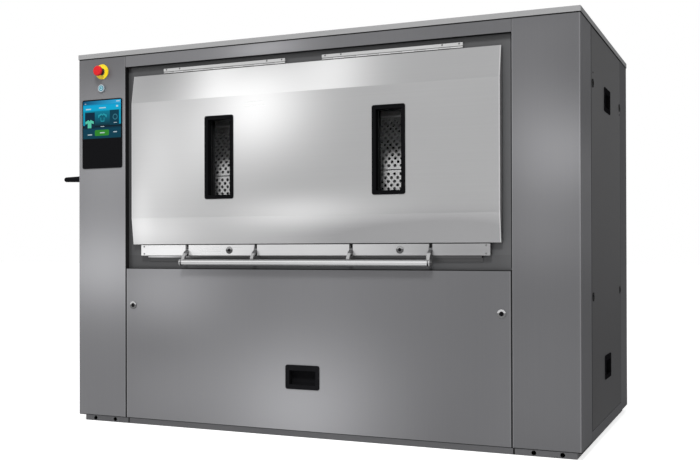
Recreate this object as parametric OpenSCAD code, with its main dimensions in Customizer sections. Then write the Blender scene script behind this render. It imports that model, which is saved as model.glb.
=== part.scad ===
// Barrier washer: a pass-through laundry washer with a loading door in front and an unloading door
// behind. Origin on the floor under the middle of the cabinet, front towards -Y, +Z up.
// The rear bay repeats the front bay, turned half a turn.

/* [Cabinet] */
// Width over the side panels
cabinet_w = 2000; // [1960:10:2300]
// Depth over the front and rear panels
cabinet_d = 1088; // [1080:4:1240]
// Height of the front panels
panel_h = 1427; // [1420:1:1600]
// Height of the kick plates under the panels
plinth_h = 25; // [20:1:40]
// Height of the lid's folded edge
lid_h = 20; // [12:1:40]
// Overhang of the lid on every side
lid_overhang = 2; // [0:0.5:6]
// Thickness of the panel sheet
sheet = 2; // [1.5:0.5:3]
// Gap between neighbouring panels
panel_gap = 0.8; // [0.5:0.1:0.9]
// Width of a corner column's face
column_w = 226; // [220:1:240]
// Height of the lintel over the bay
lintel_h = 46; // [40:1:60]
// Space between the latch rail and the lower panel
rail_over_sill = 49.5; // [40:0.5:60]
// Depth of the bay behind the column faces
bay_recess = 22; // [20:1:26]
// Length of a front column's side return
front_return = 204; // [190:1:230]
// Length of a rear column's side return
rear_return = 185; // [170:1:200]
// Set-back of the kick plates at the front and rear
kick_inset = 20; // [16:1:20]
// Set-back of the kick plates at the sides
kick_inset_side = 17; // [15:1:20]
// Height of the side sill under the hatches
side_sill_h = 35; // [30:1:60]
// Height of the lower pair of locks on the side hatches
hatch_low_lock_z = 519; // [500:5:600]
// Distance of the floor bolt holes from the cabinet's side
floor_hole_in = [65, 160];

/* [Frame] */
// Height of the base rails
base_h = 100; // [80:5:110]
// Width of the base rails
base_w = 80; // [70:5:90]
// Side of a square post
post_w = 60; // [50:5:60]
// Wall of the base rails and posts
tube_wall = 4; // [3:0.5:6]
// Diameter of the floor bolt holes
floor_hole_d = 16; // [10:1:18]
// Height of the floor bolt holes
floor_hole_z = 11; // [10:1:14]

/* [Drum and tub] */
// Space between the tub and the plane of the panels
tub_to_face = 91; // [88:1:104]
// Wall of the tub
tub_wall = 3; // [2:0.5:4]
// Inner length of the tub
tub_len = 1400; // [1380:2:1410]
// Space between the tub's outside and the drum's
drum_clear = 33; // [28:1:53]
// Wall of the drum
drum_wall = 2.5; // [2:0.5:4]
// Length of the drum
drum_len = 1300; // [1260:2:1310]
// Drop of the drum axis below the middle of the mouth
axis_drop = 107; // [95:1:115]
// Width of the loading mouth
mouth_w = 1360; // [1300:2:1364]
// How far the door reaches past the mouth above and below
mouth_lap = 30.25; // [28.25:0.5:50]
// Width of the drum's own opening
hatchway_w = 1120; // [1000:10:1150]
// Angle of the drum opening's lower edge
hatchway_low = -24; // [-30:1:-20]
// Angle of the drum opening's upper edge
hatchway_high = 36; // [32:1:40]
// Radius of a leaf hinge pin
leaf_pin_r = 4; // [3:0.5:5]
// Height of a lifting rib inside the drum
lifter_h = 70; // [50:1:90]
// Radius of the drum shaft
shaft_r = 40; // [30:1:44]
// Radius of the drum pulley
drum_pulley_r = 240; // [200:5:250]
// Radius of the motor pulley
motor_pulley_r = 48; // [40:1:55]
// Width of both pulleys
pulley_w = 50; // [40:1:54]
// Thickness of the belt
belt_t = 6; // [4:0.5:8]
// Radius of the motor
motor_r = 98; // [80:1:98]
// Length of the motor
motor_len = 180; // [160:1:182]
// Half distance between the suspension beams
spring_x = 560; // [540:5:560]
// Height of a suspension spring
spring_h = 200; // [180:5:210]
// Outer radius of a suspension spring
spring_r = 55; // [45:1:58]
// Travel of the tub on its springs, each way
float_travel = 8; // [4:1:10]

/* [Door] */
// Width of the door cover
door_w = 1475; // [1460:1:1500]
// Height of the door cover
door_h = 660.5; // [650:0.5:670]
// Gap between the lintel and the door
door_top_gap = 39; // [36:1:44]
// How far the door's face stands in front of the columns
door_out = 12; // [8:1:20]
// Height of the upper bevel
bevel_top = 108; // [80:1:120]
// Height of the lower bevel
bevel_bottom = 102; // [80:1:120]
// Set-back of the door's top edge behind the columns
top_edge_in = 6; // [2:1:8]
// Set-back of the door's bottom edge behind the columns
bottom_edge_in = 1; // [0:1:4]
// Distance of a window from the middle
window_x = 341; // [320:1:360]
// Width of a window frame
window_w = 124; // [110:1:140]
// Height of a window frame
window_h = 314; // [290:1:330]
// Drop of the windows below the middle of the door
window_drop = 3.75; // [0:0.25:10]
// Width of a window frame's wall
window_wall = 15; // [12:1:20]
// Depth of the pane behind the frame's face
pane_recess = 24; // [20:0.5:24]
// Thickness of a pane
pane_t = 4; // [3:0.5:4]
// Width of the latch rail
rail_w = 1400; // [1380:2:1440]
// Height of the latch rail
rail_h = 40; // [36:1:44]
// Gap between the door cover and the latch rail
rail_gap = 3; // [1:0.5:5]
// Half length of the handle bar
bar_half = 490; // [440:5:520]
// Diameter of the handle bar
bar_d = 24; // [20:1:28]
// Distance of the handle bar's axis in front of the columns
bar_out = 30; // [26:1:60]
// Distance of an inner arm from the middle
arm_x = 193; // [150:1:240]
// Thickness of an arm
arm_t = 12; // [8:1:12]
// Radius of the arm's bend
arm_bend_r = 50; // [44:1:54]
// Place of the left rail lock
rail_lock_left_x = -304; // [-360:1:-260]
// Place of the right rail lock
rail_lock_right_x = 378; // [260:1:420]

/* [Controls and panel fittings] */
// Height of the electrical box
e_box_h = 680; // [500:10:700]
// Depth of the electrical box
e_box_d = 340; // [250:10:360]
// Middle of the controls from the cabinet's middle
controls_x = 886; // [880:1:890]
// Drop of the emergency stop below the panels' top
estop_drop = 56; // [48:1:66]
// Drop of the power button below the panels' top
power_drop = 122; // [118:1:126]
// Diameter of the emergency stop's disc
estop_disc_d = 60; // [50:1:62]
// Diameter of the mushroom head
mushroom_d = 40; // [34:1:44]
// Travel of the emergency stop
estop_travel = 6; // [4:0.5:6]
// Travel of the power button
power_travel = 3; // [2:0.5:3]
// Width of the touch screen
screen_w = 192; // [180:1:200]
// Height of the touch screen
screen_h = 276; // [260:1:290]
// Drop of the screen's middle below the panels' top
screen_drop = 303; // [298:1:316]
// Drop of the isolator lever below the panels' top
isolator_drop = 477; // [468:1:496]
// Length of the isolator lever outside the cabinet
lever_out = 110; // [90:1:130]
// Place of a panel lock from the middle
panel_lock_x = 738; // [730:1:742]
// Drop of a panel lock below the lower panel's top
panel_lock_drop = 145; // [110:1:170]
// Diameter of a lock's bezel
bezel_d = 30; // [26:1:32]
// Height of the front pull over the panels' foot
pull_z = 196; // [180:1:240]
// Width of a recessed pull
pull_w = 136; // [120:1:150]
// Height of a recessed pull
pull_h = 88; // [80:1:100]
// Depth of a recessed pull
pull_depth = 25; // [20:1:30]

/* [Hidden] */
$fn = 64;
// Node names, one for every file

// Clearances and overlaps of cutting bodies
eps = 1;
run_fit = 0.05;
loose_fit = 0.3;

// Heights of the bay, the lower panel and the mouth
bay_h = door_top_gap + door_h + rail_gap + rail_h + rail_over_sill;
lower_panel_h = panel_h - lintel_h - bay_h;
mouth_h = door_h - 2 * mouth_lap;

// Planes of the cabinet
half_w = cabinet_w / 2;
front_y = -cabinet_d / 2;
bay_y = front_y + bay_recess;
bay_back_y = bay_y + sheet;
bay_half = half_w - column_w;
foot_z = plinth_h;
sill_z = plinth_h + lower_panel_h;
top_z = plinth_h + panel_h;
lintel_z = top_z - lintel_h;
front_edge_y = front_y + front_return;
rear_edge_y = -front_y - rear_return;
kick_y = front_y + kick_inset;
kick_x = half_w - kick_inset_side;
rail_face_y = kick_y + sheet;
rail_face_x = half_w - bay_recess - loose_fit;
base_gap = 0.1;

// Posts
bay_post_x = bay_half + sheet;
top_rail_z = top_z - post_w;
jamb_gap = 2;
front_post_y = front_edge_y - sheet - jamb_gap - post_w;
rear_post_y = rear_edge_y + sheet + jamb_gap;
side_rail_x = half_w - bay_recess - post_w;
surround_lap = 24;

// Door and mouth heights
door_top = lintel_z - door_top_gap;
door_bottom = door_top - door_h;
door_mid = (door_top + door_bottom) / 2;
face_y = front_y - door_out;
rail_top = door_bottom - rail_gap;
rail_bottom = rail_top - rail_h;
rail_mid = (rail_top + rail_bottom) / 2;
window_z = door_mid - window_drop;
seal_t = 6;
liner_back_y = bay_y - seal_t;
liner_y = liner_back_y - sheet;
plug_clear = 12;
plug_back_y = bay_y + 16;

// Tub and drum
tub_r = cabinet_d / 2 - tub_to_face;
tub_end_r = tub_r + 15;
drum_r = tub_r - drum_clear;
axis_z = door_mid - axis_drop;
neck_y = bay_y + 44;
collar_y = bay_y + 16;
bellows_out = 28;
bellows_wall = 4;
tub_half = tub_len / 2;
drum_half = drum_len / 2;
end_t = 8;
drum_end_t = 6;
hub_t = 20;
housing_r = 78;
bearing_r = 65;
housing_out = 100;
pulley_x = tub_half + 120;
seat_z = base_h + spring_h;
cradle_h = 60;
cradle_w = 100;
cradle_half = tub_r - 53;
saddle_half = tub_r - 113;
saddle_t = 10;
saddle_drop = tub_r - 133;
damper_y = 200;
damper_h = spring_h - 50;
damper_r = 25;
spring_y = cradle_half - 70;
fin_h = 6;
motor_z = axis_z - tub_end_r - motor_r - fin_h - 2;
motor_x = spring_x + cradle_w / 2 + 10;
drain_x = -300;
drain_r = 50;
drain_top = axis_z - tub_r - loose_fit;
drain_h = 76;
drain_outlet_z = base_h + 30;
inlet_z = axis_z + tub_r - 123;
leaf_pin_at = drum_r - 12;
leaf_heel = 6;
leaf_gap_deg = 0.25;
hatchway_mid = (hatchway_low + hatchway_high) / 2;

// Hinge of a door
hinge_r = 4.5;
hinge_pin_r = 2;
hinge_y = liner_back_y + 1;
hinge_z = door_top + 5.5;
strip_in = 75;
strip_out = 603;
strip_y = bay_y - 10;
knuckles = 6;
knuckle_pitch = (strip_out - strip_in) / knuckles;

// Handle and latch rail
rail_wall = 2;
pivot_y = (front_y + liner_y) / 2;
pivot_r = 4;
slot_w = arm_t + 2;
arm_xs = [-bar_half, -arm_x, arm_x, bar_half];
arm_h = 8;
bar_y = front_y - bar_out;
bend_y = bar_y + arm_bend_r;
bend_z = rail_mid - arm_bend_r;
bar_z = bend_z + 3.5;
finger_y = bay_back_y + 5;
slot_down = 20;
slot_up = 8;
rail_bezel_r = 13.5;

// Heights of the controls and of the panel locks over the panels' foot
estop_z = panel_h - estop_drop;
power_z = panel_h - power_drop;
screen_z = panel_h - screen_drop;
isolator_z = panel_h - isolator_drop;
panel_lock_z = lower_panel_h - panel_lock_drop;

// Locks
lock_r = 8;
barrel_r = 10.9;
cam_len = 26;
cam_w = 16;
cam_t = 3;
cam_y = 27.5;
panel_pull_lap = 10;
hatch_pull_lap = 4;
hatch_lock_front = 30;
hatch_lock_rear = 22;
hatch_lock_z = [hatch_low_lock_z, top_z - 196];
hatch_pull_z = [foot_z + pull_z + 26, top_z - 214];
hatch_pull_y = 10;

// Isolator
lever_y = front_y + 45;
lever_pivot_x = half_w - 20;
lever_r = 13;

// Shapes used by several sub-parts

// A box between two corners
module block(x0, x1, y0, y1, z0, z1) {
  translate([x0, y0, z0]) cube([x1 - x0, y1 - y0, z1 - z0]);
}

// A square tube along X, Y or Z, open at its ends
module tube_x(x0, x1, y0, y1, z0, z1, wall = tube_wall) {
  difference() {
    block(x0, x1, y0, y1, z0, z1);
    block(x0 - eps, x1 + eps, y0 + wall, y1 - wall, z0 + wall, z1 - wall);
  }
}
module tube_y(x0, x1, y0, y1, z0, z1, wall = tube_wall) {
  difference() {
    block(x0, x1, y0, y1, z0, z1);
    block(x0 + wall, x1 - wall, y0 - eps, y1 + eps, z0 + wall, z1 - wall);
  }
}
module tube_z(x0, x1, y0, y1, z0, z1, wall = tube_wall) {
  difference() {
    block(x0, x1, y0, y1, z0, z1);
    block(x0 + wall, x1 - wall, y0 + wall, y1 - wall, z0 - eps, z1 + eps);
  }
}

// A round bar along X or along Y
module bar_x(r, x0, x1, y = 0, z = 0) {
  translate([x0, y, z]) rotate([0, 90, 0]) cylinder(r = r, h = x1 - x0);
}
module rod_y(r, y0, y1, x = 0, z = 0) {
  translate([x, y0, z]) rotate([-90, 0, 0]) cylinder(r = r, h = y1 - y0);
}

// The rear twin of a front piece
module turned() {
  rotate([0, 0, 180]) children();
}
module both_bays() {
  children();
  turned() children();
}

// A sheet pan with its face towards -Y and folded edges, open behind
module pan(x0, x1, z0, z1, y0, depth) {
  difference() {
    block(x0, x1, y0, y0 + depth, z0, z1);
    block(x0 + sheet, x1 - sheet, y0 + sheet, y0 + depth + eps, z0 + sheet, z1 - sheet);
  }
}

// A plate with rounded corners, its face towards -Y, centred at x and z
module round_plate(w, h, r, x, z, y0, y1) {
  hull()
    for (sx = [-1, 1], sz = [-1, 1])
      rod_y(r, y0, y1, x + sx * (w / 2 - r), z + sz * (h / 2 - r), $fn = 32);
}

// Base and upright frame

// Welded rails that carry the suspension and stand on the floor
module base_frame() {
  color("#2f3133")
    difference() {
      union() {
        for (s = [0, 1]) rotate([0, 0, 180 * s]) {
          tube_x(-rail_face_x, rail_face_x, rail_face_y, rail_face_y + base_w, 0, base_h);
          cross_tube(rail_face_x - base_w, rail_face_x);
          cross_tube(spring_x - cradle_w / 2, spring_x + cradle_w / 2);
        }
        cross_tube(-base_w / 2, base_w / 2);
      }
      both_bays() floor_holes(rail_face_y - eps, rail_face_y + tube_wall + eps);
    }
}

// A tube between the long base rails, a weld gap short of them at each end
module cross_tube(x0, x1) {
  y = -rail_face_y - base_w - base_gap;
  tube_y(x0, x1, -y, y, 0, base_h);
}

// Two floor bolt holes under each column
module floor_holes(y0, y1) {
  for (s = [-1, 1], x = floor_hole_in)
    rod_y(floor_hole_d / 2, y0, y1, s * (half_w - x), floor_hole_z);
}

// Posts and top rails; small lugs catch the cams of the panel locks
module upright_frame() {
  color("#8d9093") {
    both_bays() {
      tube_x(-side_rail_x - post_w, side_rail_x + post_w, bay_back_y, bay_back_y + post_w,
             top_rail_z, top_z);
      for (s = [-1, 1]) scale([s, 1, 1]) {
        tube_z(bay_post_x, bay_post_x + post_w, bay_back_y, bay_back_y + post_w,
               base_h, top_rail_z);
        block(bay_post_x - 24, bay_post_x, bay_back_y, bay_back_y + cam_t,
              foot_z + panel_lock_z - 20, foot_z + panel_lock_z + 20);
      }
    }
    for (s = [-1, 1]) scale([s, 1, 1]) {
      tube_z(half_w - sheet - post_w, half_w - sheet, front_post_y, front_post_y + post_w,
             base_h, top_rail_z);
      tube_z(half_w - sheet - post_w, half_w - sheet, rear_post_y, rear_post_y + post_w,
             base_h, top_rail_z);
      tube_y(side_rail_x, side_rail_x + post_w, bay_back_y + post_w, -bay_back_y - post_w,
             top_rail_z, top_z);
    }
  }
}

// Dark plates between the panels and the floor, and the sills under the side hatches
module kick_plates() {
  color("#3a3c3f") {
    both_bays() difference() {
      union() {
        block(-bay_half + panel_gap, bay_half - panel_gap, kick_y, rail_face_y, 0, plinth_h);
        for (s = [-1, 1]) scale([s, 1, 1])
          block(bay_half, kick_x, kick_y, rail_face_y, 0, plinth_h);
      }
      floor_holes(kick_y - eps, rail_face_y + eps);
    }
    for (s = [-1, 1]) scale([s, 1, 1]) {
      block(rail_face_x, kick_x, rail_face_y, -rail_face_y, 0, plinth_h);
      difference() {
        block(rail_face_x, half_w, front_edge_y + panel_gap, rear_edge_y - panel_gap,
              foot_z, foot_z + side_sill_h);
        block(rail_face_x - eps, half_w - sheet, front_edge_y - eps, rear_edge_y + eps,
              foot_z + sheet, foot_z + side_sill_h - sheet);
      }
    }
  }
}

// Outer panels

// A corner column: face, side return and the folds at both its edges
module corner_column(side_len) {
  block(bay_half, half_w, front_y, front_y + sheet, foot_z, top_z);
  block(half_w - sheet, half_w, front_y, front_y + side_len, foot_z, top_z);
  block(bay_half, bay_half + sheet, front_y, bay_y, foot_z, top_z);
  block(half_w - bay_recess, half_w, front_y + side_len - sheet, front_y + side_len,
        foot_z, top_z);
}

module front_left_column() {
  color("#86888b")
    difference() {
      scale([-1, 1, 1]) corner_column(front_return);
      rod_y(11.3, front_y - eps, front_y + sheet + eps, -controls_x, foot_z + estop_z);
      rod_y(11.3, front_y - eps, front_y + sheet + eps, -controls_x, foot_z + power_z);
      block(-controls_x - screen_w / 2 + 8, -controls_x + screen_w / 2 - 8,
            front_y - eps, front_y + sheet + eps,
            foot_z + screen_z - screen_h / 2 + 8, foot_z + screen_z + screen_h / 2 - 8);
      isolator_slot(-half_w - eps, -half_w + sheet + eps);
    }
}

// The slot that the isolator lever moves in
module isolator_slot(x0, x1) {
  block(x0, x1, lever_y - lever_r - 1, lever_y + lever_r + 1,
        foot_z + isolator_z - lever_r - 34, foot_z + isolator_z + lever_r + 1);
}

module front_right_column() {
  color("#7f8184") corner_column(front_return);
}

module rear_columns() {
  color("#86888b")
    turned() for (s = [-1, 1]) scale([s, 1, 1]) corner_column(rear_return);
}

// A strip over each bay, with a fold that meets the surround
module lintels() {
  color("#86888b")
    both_bays() difference() {
      block(-bay_half + panel_gap, bay_half - panel_gap, front_y, bay_y, lintel_z, top_z);
      block(-bay_half - eps, bay_half + eps, front_y + sheet, bay_y + eps,
            lintel_z + sheet, top_z + eps);
    }
}

// A lower panel is a sheet pan with two lock holes and a cut-out for the pull
module lower_panel() {
  difference() {
    pan(-bay_half + panel_gap, bay_half - panel_gap, foot_z, sill_z, front_y, bay_recess);
    for (s = [-1, 1])
      rod_y(barrel_r + 0.1, front_y - eps, front_y + sheet + eps,
            s * panel_lock_x, foot_z + panel_lock_z);
    block(-pull_w / 2 + panel_pull_lap, pull_w / 2 - panel_pull_lap,
          front_y - eps, front_y + sheet + eps,
          foot_z + pull_z - pull_h / 2 + panel_pull_lap,
          foot_z + pull_z + pull_h / 2 - panel_pull_lap);
  }
}
module front_lower_panel() { color("#808285") lower_panel(); }
module rear_lower_panel() { color("#808285") scale([1, -1, 1]) lower_panel(); }

// The recessed plate round the mouth, with a collar that the bellows meets
module surround() {
  difference() {
    union() {
      block(-bay_half - surround_lap, bay_half + surround_lap, bay_y, bay_back_y,
            sill_z - surround_lap, top_z);
      block(-mouth_w / 2 - sheet, mouth_w / 2 + sheet, bay_y, collar_y,
            door_mid - mouth_h / 2 - sheet, door_mid + mouth_h / 2 + sheet);
    }
    block(-mouth_w / 2, mouth_w / 2, bay_y - eps, collar_y + eps,
          door_mid - mouth_h / 2, door_mid + mouth_h / 2);
    finger_slots(bay_y - eps, bay_back_y + eps);
  }
}
module front_surround() { color("#5c5e60") surround(); }
module rear_surround() { color("#5c5e60") turned() surround(); }

// Slots that the latch fingers pass through
module finger_slots(y0, y1) {
  for (x = arm_xs)
    block(x - slot_w / 2, x + slot_w / 2, y0, y1, rail_mid - slot_down, rail_mid + slot_up);
}

// A sheet lid with folded edges and a flange that rests on the panels
module top_cover() {
  color("#b9bbbe") {
    difference() {
      block(-half_w - lid_overhang, half_w + lid_overhang, front_y - lid_overhang,
            -front_y + lid_overhang, top_z, top_z + lid_h);
      block(-half_w - lid_overhang + sheet, half_w + lid_overhang - sheet,
            front_y - lid_overhang + sheet, -front_y + lid_overhang - sheet,
            top_z + sheet, top_z + lid_h - sheet);
      block(-half_w + 30, half_w - 30, front_y + 30, -front_y - 30,
            top_z - eps, top_z + sheet + eps);
    }
  }
}

// Removable side hatches, one tall pan on each side with four locks and two pulls
module side_hatches() {
  color("#6f7174")
    for (s = [-1, 1]) scale([s, 1, 1])
      difference() {
        translate([half_w, 0, 0]) rotate([0, 0, 90])
          pan(front_edge_y + panel_gap, rear_edge_y - panel_gap,
              foot_z + side_sill_h + panel_gap, top_z - panel_gap, 0, bay_recess - 2);
        for (y = [front_edge_y + hatch_lock_front, rear_edge_y - hatch_lock_rear], z = hatch_lock_z)
          bar_x(barrel_r + 0.1, half_w - sheet - eps, half_w + eps, y, z);
        for (z = hatch_pull_z)
          block(half_w - sheet - eps, half_w + eps,
                hatch_pull_y - pull_w / 2 + hatch_pull_lap,
                hatch_pull_y + pull_w / 2 - hatch_pull_lap,
                z - pull_h / 2 + hatch_pull_lap, z + pull_h / 2 - hatch_pull_lap);
      }
}

// One recessed pull, centred at the origin, facing -Y: a flange and a cup to put fingers in
module pull() {
  open_w = 105;
  open_h = 52;
  difference() {
    union() {
      round_plate(pull_w, pull_h, 8, 0, 0, -3, 0);
      block(-pull_w / 2 + 10.2, pull_w / 2 - 10.2, 0, pull_depth,
            -pull_h / 2 + 10.2, pull_h / 2 - 10.2);
    }
    block(-open_w / 2, open_w / 2, -3 - eps, pull_depth - sheet,
          -open_h / 2 - 2, open_h / 2 - 2);
    block(-open_w / 2, open_w / 2, sheet, pull_depth - sheet,
          -open_h / 2 - 2, open_h / 2 + 3);
  }
}
module recessed_pulls() {
  color("#141414") {
    both_bays() translate([0, front_y, foot_z + pull_z]) pull();
    for (s = [-1, 1], z = hatch_pull_z)
      translate([s * half_w, hatch_pull_y, z]) rotate([0, 0, 90 * s]) pull();
  }
}

// Hinge strips and keepers

// Strips over the door with every other knuckle and the pin pressed into them
module hinge_strips() {
  color("#c3c5c8")
    both_bays() for (s = [-1, 1]) {
      x0 = s > 0 ? strip_in : -strip_out;
      block(x0, x0 + strip_out - strip_in, strip_y, bay_y, hinge_z + 4.8, hinge_z + 16.5);
      bar_x(hinge_pin_r, x0, x0 + strip_out - strip_in, hinge_y, hinge_z);
      for (k = [0:knuckles - 1]) {
        a = x0 + k * knuckle_pitch;
        bar_x(hinge_r, a, a + knuckle_pitch / 2 - 0.5, hinge_y, hinge_z);
        block(a, a + knuckle_pitch / 2 - 0.5, hinge_y, bay_y, hinge_z, hinge_z + 5.5);
      }
    }
}

// An angle under each latch rail
module door_keepers() {
  color("#b5b7ba")
    both_bays() {
      block(-rail_w / 2 + 30, rail_w / 2 - 30, front_y + 4, bay_y,
            rail_bottom - 7.5, rail_bottom - 1.5);
      block(-rail_w / 2 + 30, rail_w / 2 - 30, bay_y - sheet, bay_y,
            rail_bottom - 22, rail_bottom - 1.5);
    }
}

// Controls

module screen_glass() {
  color("#0b0c0e")
    round_plate(screen_w, screen_h, 8, -controls_x, foot_z + screen_z, front_y - 3, front_y);
}

module screen_housing() {
  color("#1c1d1f")
    block(-controls_x - screen_w / 2 + 8.2, -controls_x + screen_w / 2 - 8.2,
          front_y, bay_back_y - 1,
          foot_z + screen_z - screen_h / 2 + 8.2, foot_z + screen_z + screen_h / 2 - 8.2);
}

// Yellow disc with the collar of the emergency stop, and the ring of the power button
module pushbutton_bases() {
  stop_z = foot_z + estop_z;
  on_z = foot_z + power_z;
  color("#e6c21a") difference() {
    union() {
      rod_y(estop_disc_d / 2, front_y - 3, front_y, -controls_x, stop_z);
      rod_y(14.5, front_y - 12, front_y - 3, -controls_x, stop_z);
      rod_y(11, front_y - 3, front_y + 14, -controls_x, stop_z);
      rod_y(16, front_y + sheet, front_y + 6, -controls_x, stop_z);
      block(-controls_x - 14, -controls_x + 14, front_y + 13, bay_back_y - 1,
            stop_z - 14, stop_z + 14);
    }
    rod_y(6 + run_fit, front_y - 20, front_y + 11, -controls_x, stop_z);
  }
  color("#9fa3a8") difference() {
    union() {
      rod_y(15, front_y - 8, front_y, -controls_x, on_z);
      rod_y(11, front_y - 1, front_y + 24, -controls_x, on_z);
      rod_y(15, front_y + sheet, front_y + 6, -controls_x, on_z);
    }
    rod_y(11 + run_fit, front_y - 20, front_y - 0.8, -controls_x, on_z);
    rod_y(7 + run_fit, front_y - 20, front_y + 13, -controls_x, on_z);
  }
}

// Red mushroom head on its stem
module estop_button() {
  head_y = front_y - 35;
  color("#c8232b")
    translate([-controls_x, head_y, foot_z + estop_z]) rotate([-90, 0, 0]) {
      cylinder(r1 = mushroom_d / 2 - 3, r2 = mushroom_d / 2, h = 4);
      translate([0, 0, 4]) cylinder(r = mushroom_d / 2, h = 5);
      translate([0, 0, 9]) cylinder(r1 = mushroom_d / 2, r2 = mushroom_d / 2 - 8, h = 4);
      translate([0, 0, 12]) cylinder(r = 6, h = 27);
    }
}

// Lit cap of the power button
module power_button() {
  color("#3fb8c8") {
    rod_y(11, front_y - 9, front_y - 4, -controls_x, foot_z + power_z);
    rod_y(7, front_y - 4, front_y + 9, -controls_x, foot_z + power_z);
  }
}

// Plate with a slot outside, bracket with the lever's pin inside
module isolator_base() {
  z = foot_z + isolator_z;
  cheek_in = lever_r + 1;
  color("#1b1c1e") {
    difference() {
      block(-half_w - 2, -half_w, lever_y - 24, lever_y + 24, z - 60, z + 34);
      isolator_slot(-half_w - 2 - eps, -half_w + eps);
    }
    for (s = [-1, 1])
      block(-half_w + sheet, -half_w + 40, lever_y + s * (cheek_in + 2) - 2,
            lever_y + s * (cheek_in + 2) + 2, z - 60, z + 30);
    block(-half_w + 38, -half_w + 40, lever_y - cheek_in - 1, lever_y + cheek_in + 1,
          z - 60, z + 30);
    rod_y(3, lever_y - cheek_in - 2, lever_y + cheek_in + 2, -lever_pivot_x, z);
  }
}

// Tapered grip with a round tip, on a hub
module isolator_lever() {
  z = foot_z + isolator_z;
  tip_r = 10;
  color("#141517")
    difference() {
      union() {
        rod_y(12, lever_y - 12, lever_y + 12, -lever_pivot_x, z);
        translate([-lever_pivot_x, lever_y, z]) rotate([0, -90, 0])
          cylinder(r = 8, h = 24);
        translate([-half_w - 3, lever_y, z]) rotate([0, -90, 0])
          cylinder(r1 = lever_r, r2 = tip_r, h = lever_out - tip_r - 3);
        translate([-half_w - lever_out + tip_r, lever_y, z]) sphere(r = tip_r);
      }
      rod_y(3 + run_fit, lever_y - 13, lever_y + 13, -lever_pivot_x, z);
    }
}

// Sheet box of the controls, behind the left column
module electrical_box() {
  color("#9a9da0")
    tube_y(-half_w + post_w + 10, -bay_post_x, bay_back_y + post_w,
           bay_back_y + post_w + e_box_d, top_z - e_box_h - 72, top_z - 72, 2);
}

// Locks

// Bezel and barrel of a quarter-turn lock, facing -Y from the face plane y = 0
module lock_body() {
  difference() {
    union() {
      rod_y(bezel_d / 2, -2.5, 0);
      rod_y(barrel_r, -1, 22);
    }
    rod_y(lock_r + run_fit, -3.5, 23);
  }
}

// Core and cam of such a lock; the cam points to +X
module lock_core() {
  difference() {
    rod_y(lock_r, -2, cam_y + cam_t);
    block(-1.2, 1.2, -2 - eps, 1, -5, 5);
  }
  block(0, cam_len, cam_y, cam_y + cam_t, -cam_w / 2, cam_w / 2);
}

// Where the side hatches' locks sit
module at_hatch_locks() {
  for (s = [-1, 1]) scale([s, 1, 1])
    for (z = hatch_lock_z) {
      translate([half_w, front_edge_y + hatch_lock_front, z]) rotate([0, 0, 90])
        scale([-1, 1, 1]) children();
      translate([half_w, rear_edge_y - hatch_lock_rear, z]) rotate([0, 0, 90]) children();
    }
}

// Bodies of all the panel locks, and the cores of those at the rear and the sides
module lock_bodies() {
  color("#c9cbce") {
    both_bays() for (s = [-1, 1])
      translate([s * panel_lock_x, front_y, foot_z + panel_lock_z]) lock_body();
    at_hatch_locks() lock_body();
  }
  color("#232426") {
    turned() for (s = [-1, 1])
      translate([s * panel_lock_x, front_y, foot_z + panel_lock_z])
        scale([s, 1, 1]) lock_core();
    at_hatch_locks() lock_core();
  }
}

module panel_lock_left() {
  color("#232426")
    translate([-panel_lock_x, front_y, foot_z + panel_lock_z]) scale([-1, 1, 1]) lock_core();
}
module panel_lock_right() {
  color("#232426") translate([panel_lock_x, front_y, foot_z + panel_lock_z]) lock_core();
}

// Water

// Valve block on a bracket under the left top rail, and the drain outlet on the base
module water_fittings() {
  block_x = -tub_half - 150;
  color("#3d5f7a") {
    difference() {
      union() {
        block(block_x - 60, block_x, -60, 60, inlet_z - 30, inlet_z + 30);
        for (y = [-36, 0, 36])
          translate([block_x - 30, y, inlet_z + 30]) cylinder(r = 14, h = 40);
        block(block_x - 62, block_x - 58, -60, 60, inlet_z - 30, top_rail_z);
        block(-side_rail_x - 10, block_x - 58, -60, 60, top_rail_z - 4, top_rail_z);
      }
      bar_x(18, block_x - 30, block_x + eps, 0, inlet_z);
    }
    difference() {
      union() {
        translate([drain_x, 0, 20]) cylinder(r = drain_r + 4, h = drain_outlet_z - 20);
        block(drain_x, -base_w / 2, -40, 40, 40, 48);
      }
      translate([drain_x, 0, 19]) cylinder(r = drain_r - 4, h = drain_outlet_z);
    }
  }
}

// Ribbed drain hose and the inlet hose
module water_hoses() {
  color("#26282a") {
    difference() {
      translate([drain_x, 0, drain_outlet_z])
        ribbed(drain_r - 2, drain_r + 3, drain_top - drain_h - drain_outlet_z, 12);
      translate([drain_x, 0, drain_outlet_z - eps])
        cylinder(r = drain_r - 6, h = drain_top - drain_h - drain_outlet_z + 2 * eps);
    }
    difference() {
      bar_x(22, -tub_half - 150, -tub_half - end_t - 40, 0, inlet_z);
      bar_x(18, -tub_half - 150 - eps, -tub_half - end_t - 39, 0, inlet_z);
    }
  }
}

// A ribbed round body that stands on the origin
module ribbed(r0, r1, h, n) {
  p = h / n;
  rotate_extrude()
    polygon(concat([[0, 0]],
      [for (i = [0:n - 1], k = [0, 1]) [k == 0 ? r0 : r1, (i + 0.5 * k) * p]],
      [[r0, h], [0, h]]));
}

// A rubber channel between each surround's collar and the tub's neck
module mouth_bellows() {
  hw = mouth_w / 2;
  hh = mouth_h / 2;
  color("#1d1e20")
    both_bays() difference() {
      block(-hw - bellows_out, hw + bellows_out, collar_y, neck_y,
            door_mid - hh - bellows_out, door_mid + hh + bellows_out);
      block(-hw, hw, collar_y - eps, neck_y + eps, door_mid - hh, door_mid + hh);
      block(-hw - bellows_out + bellows_wall, hw + bellows_out - bellows_wall,
            collar_y + bellows_wall, neck_y - bellows_wall,
            door_mid - hh - bellows_out + bellows_wall,
            door_mid + hh + bellows_out - bellows_wall);
    }
}

// Suspension

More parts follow.
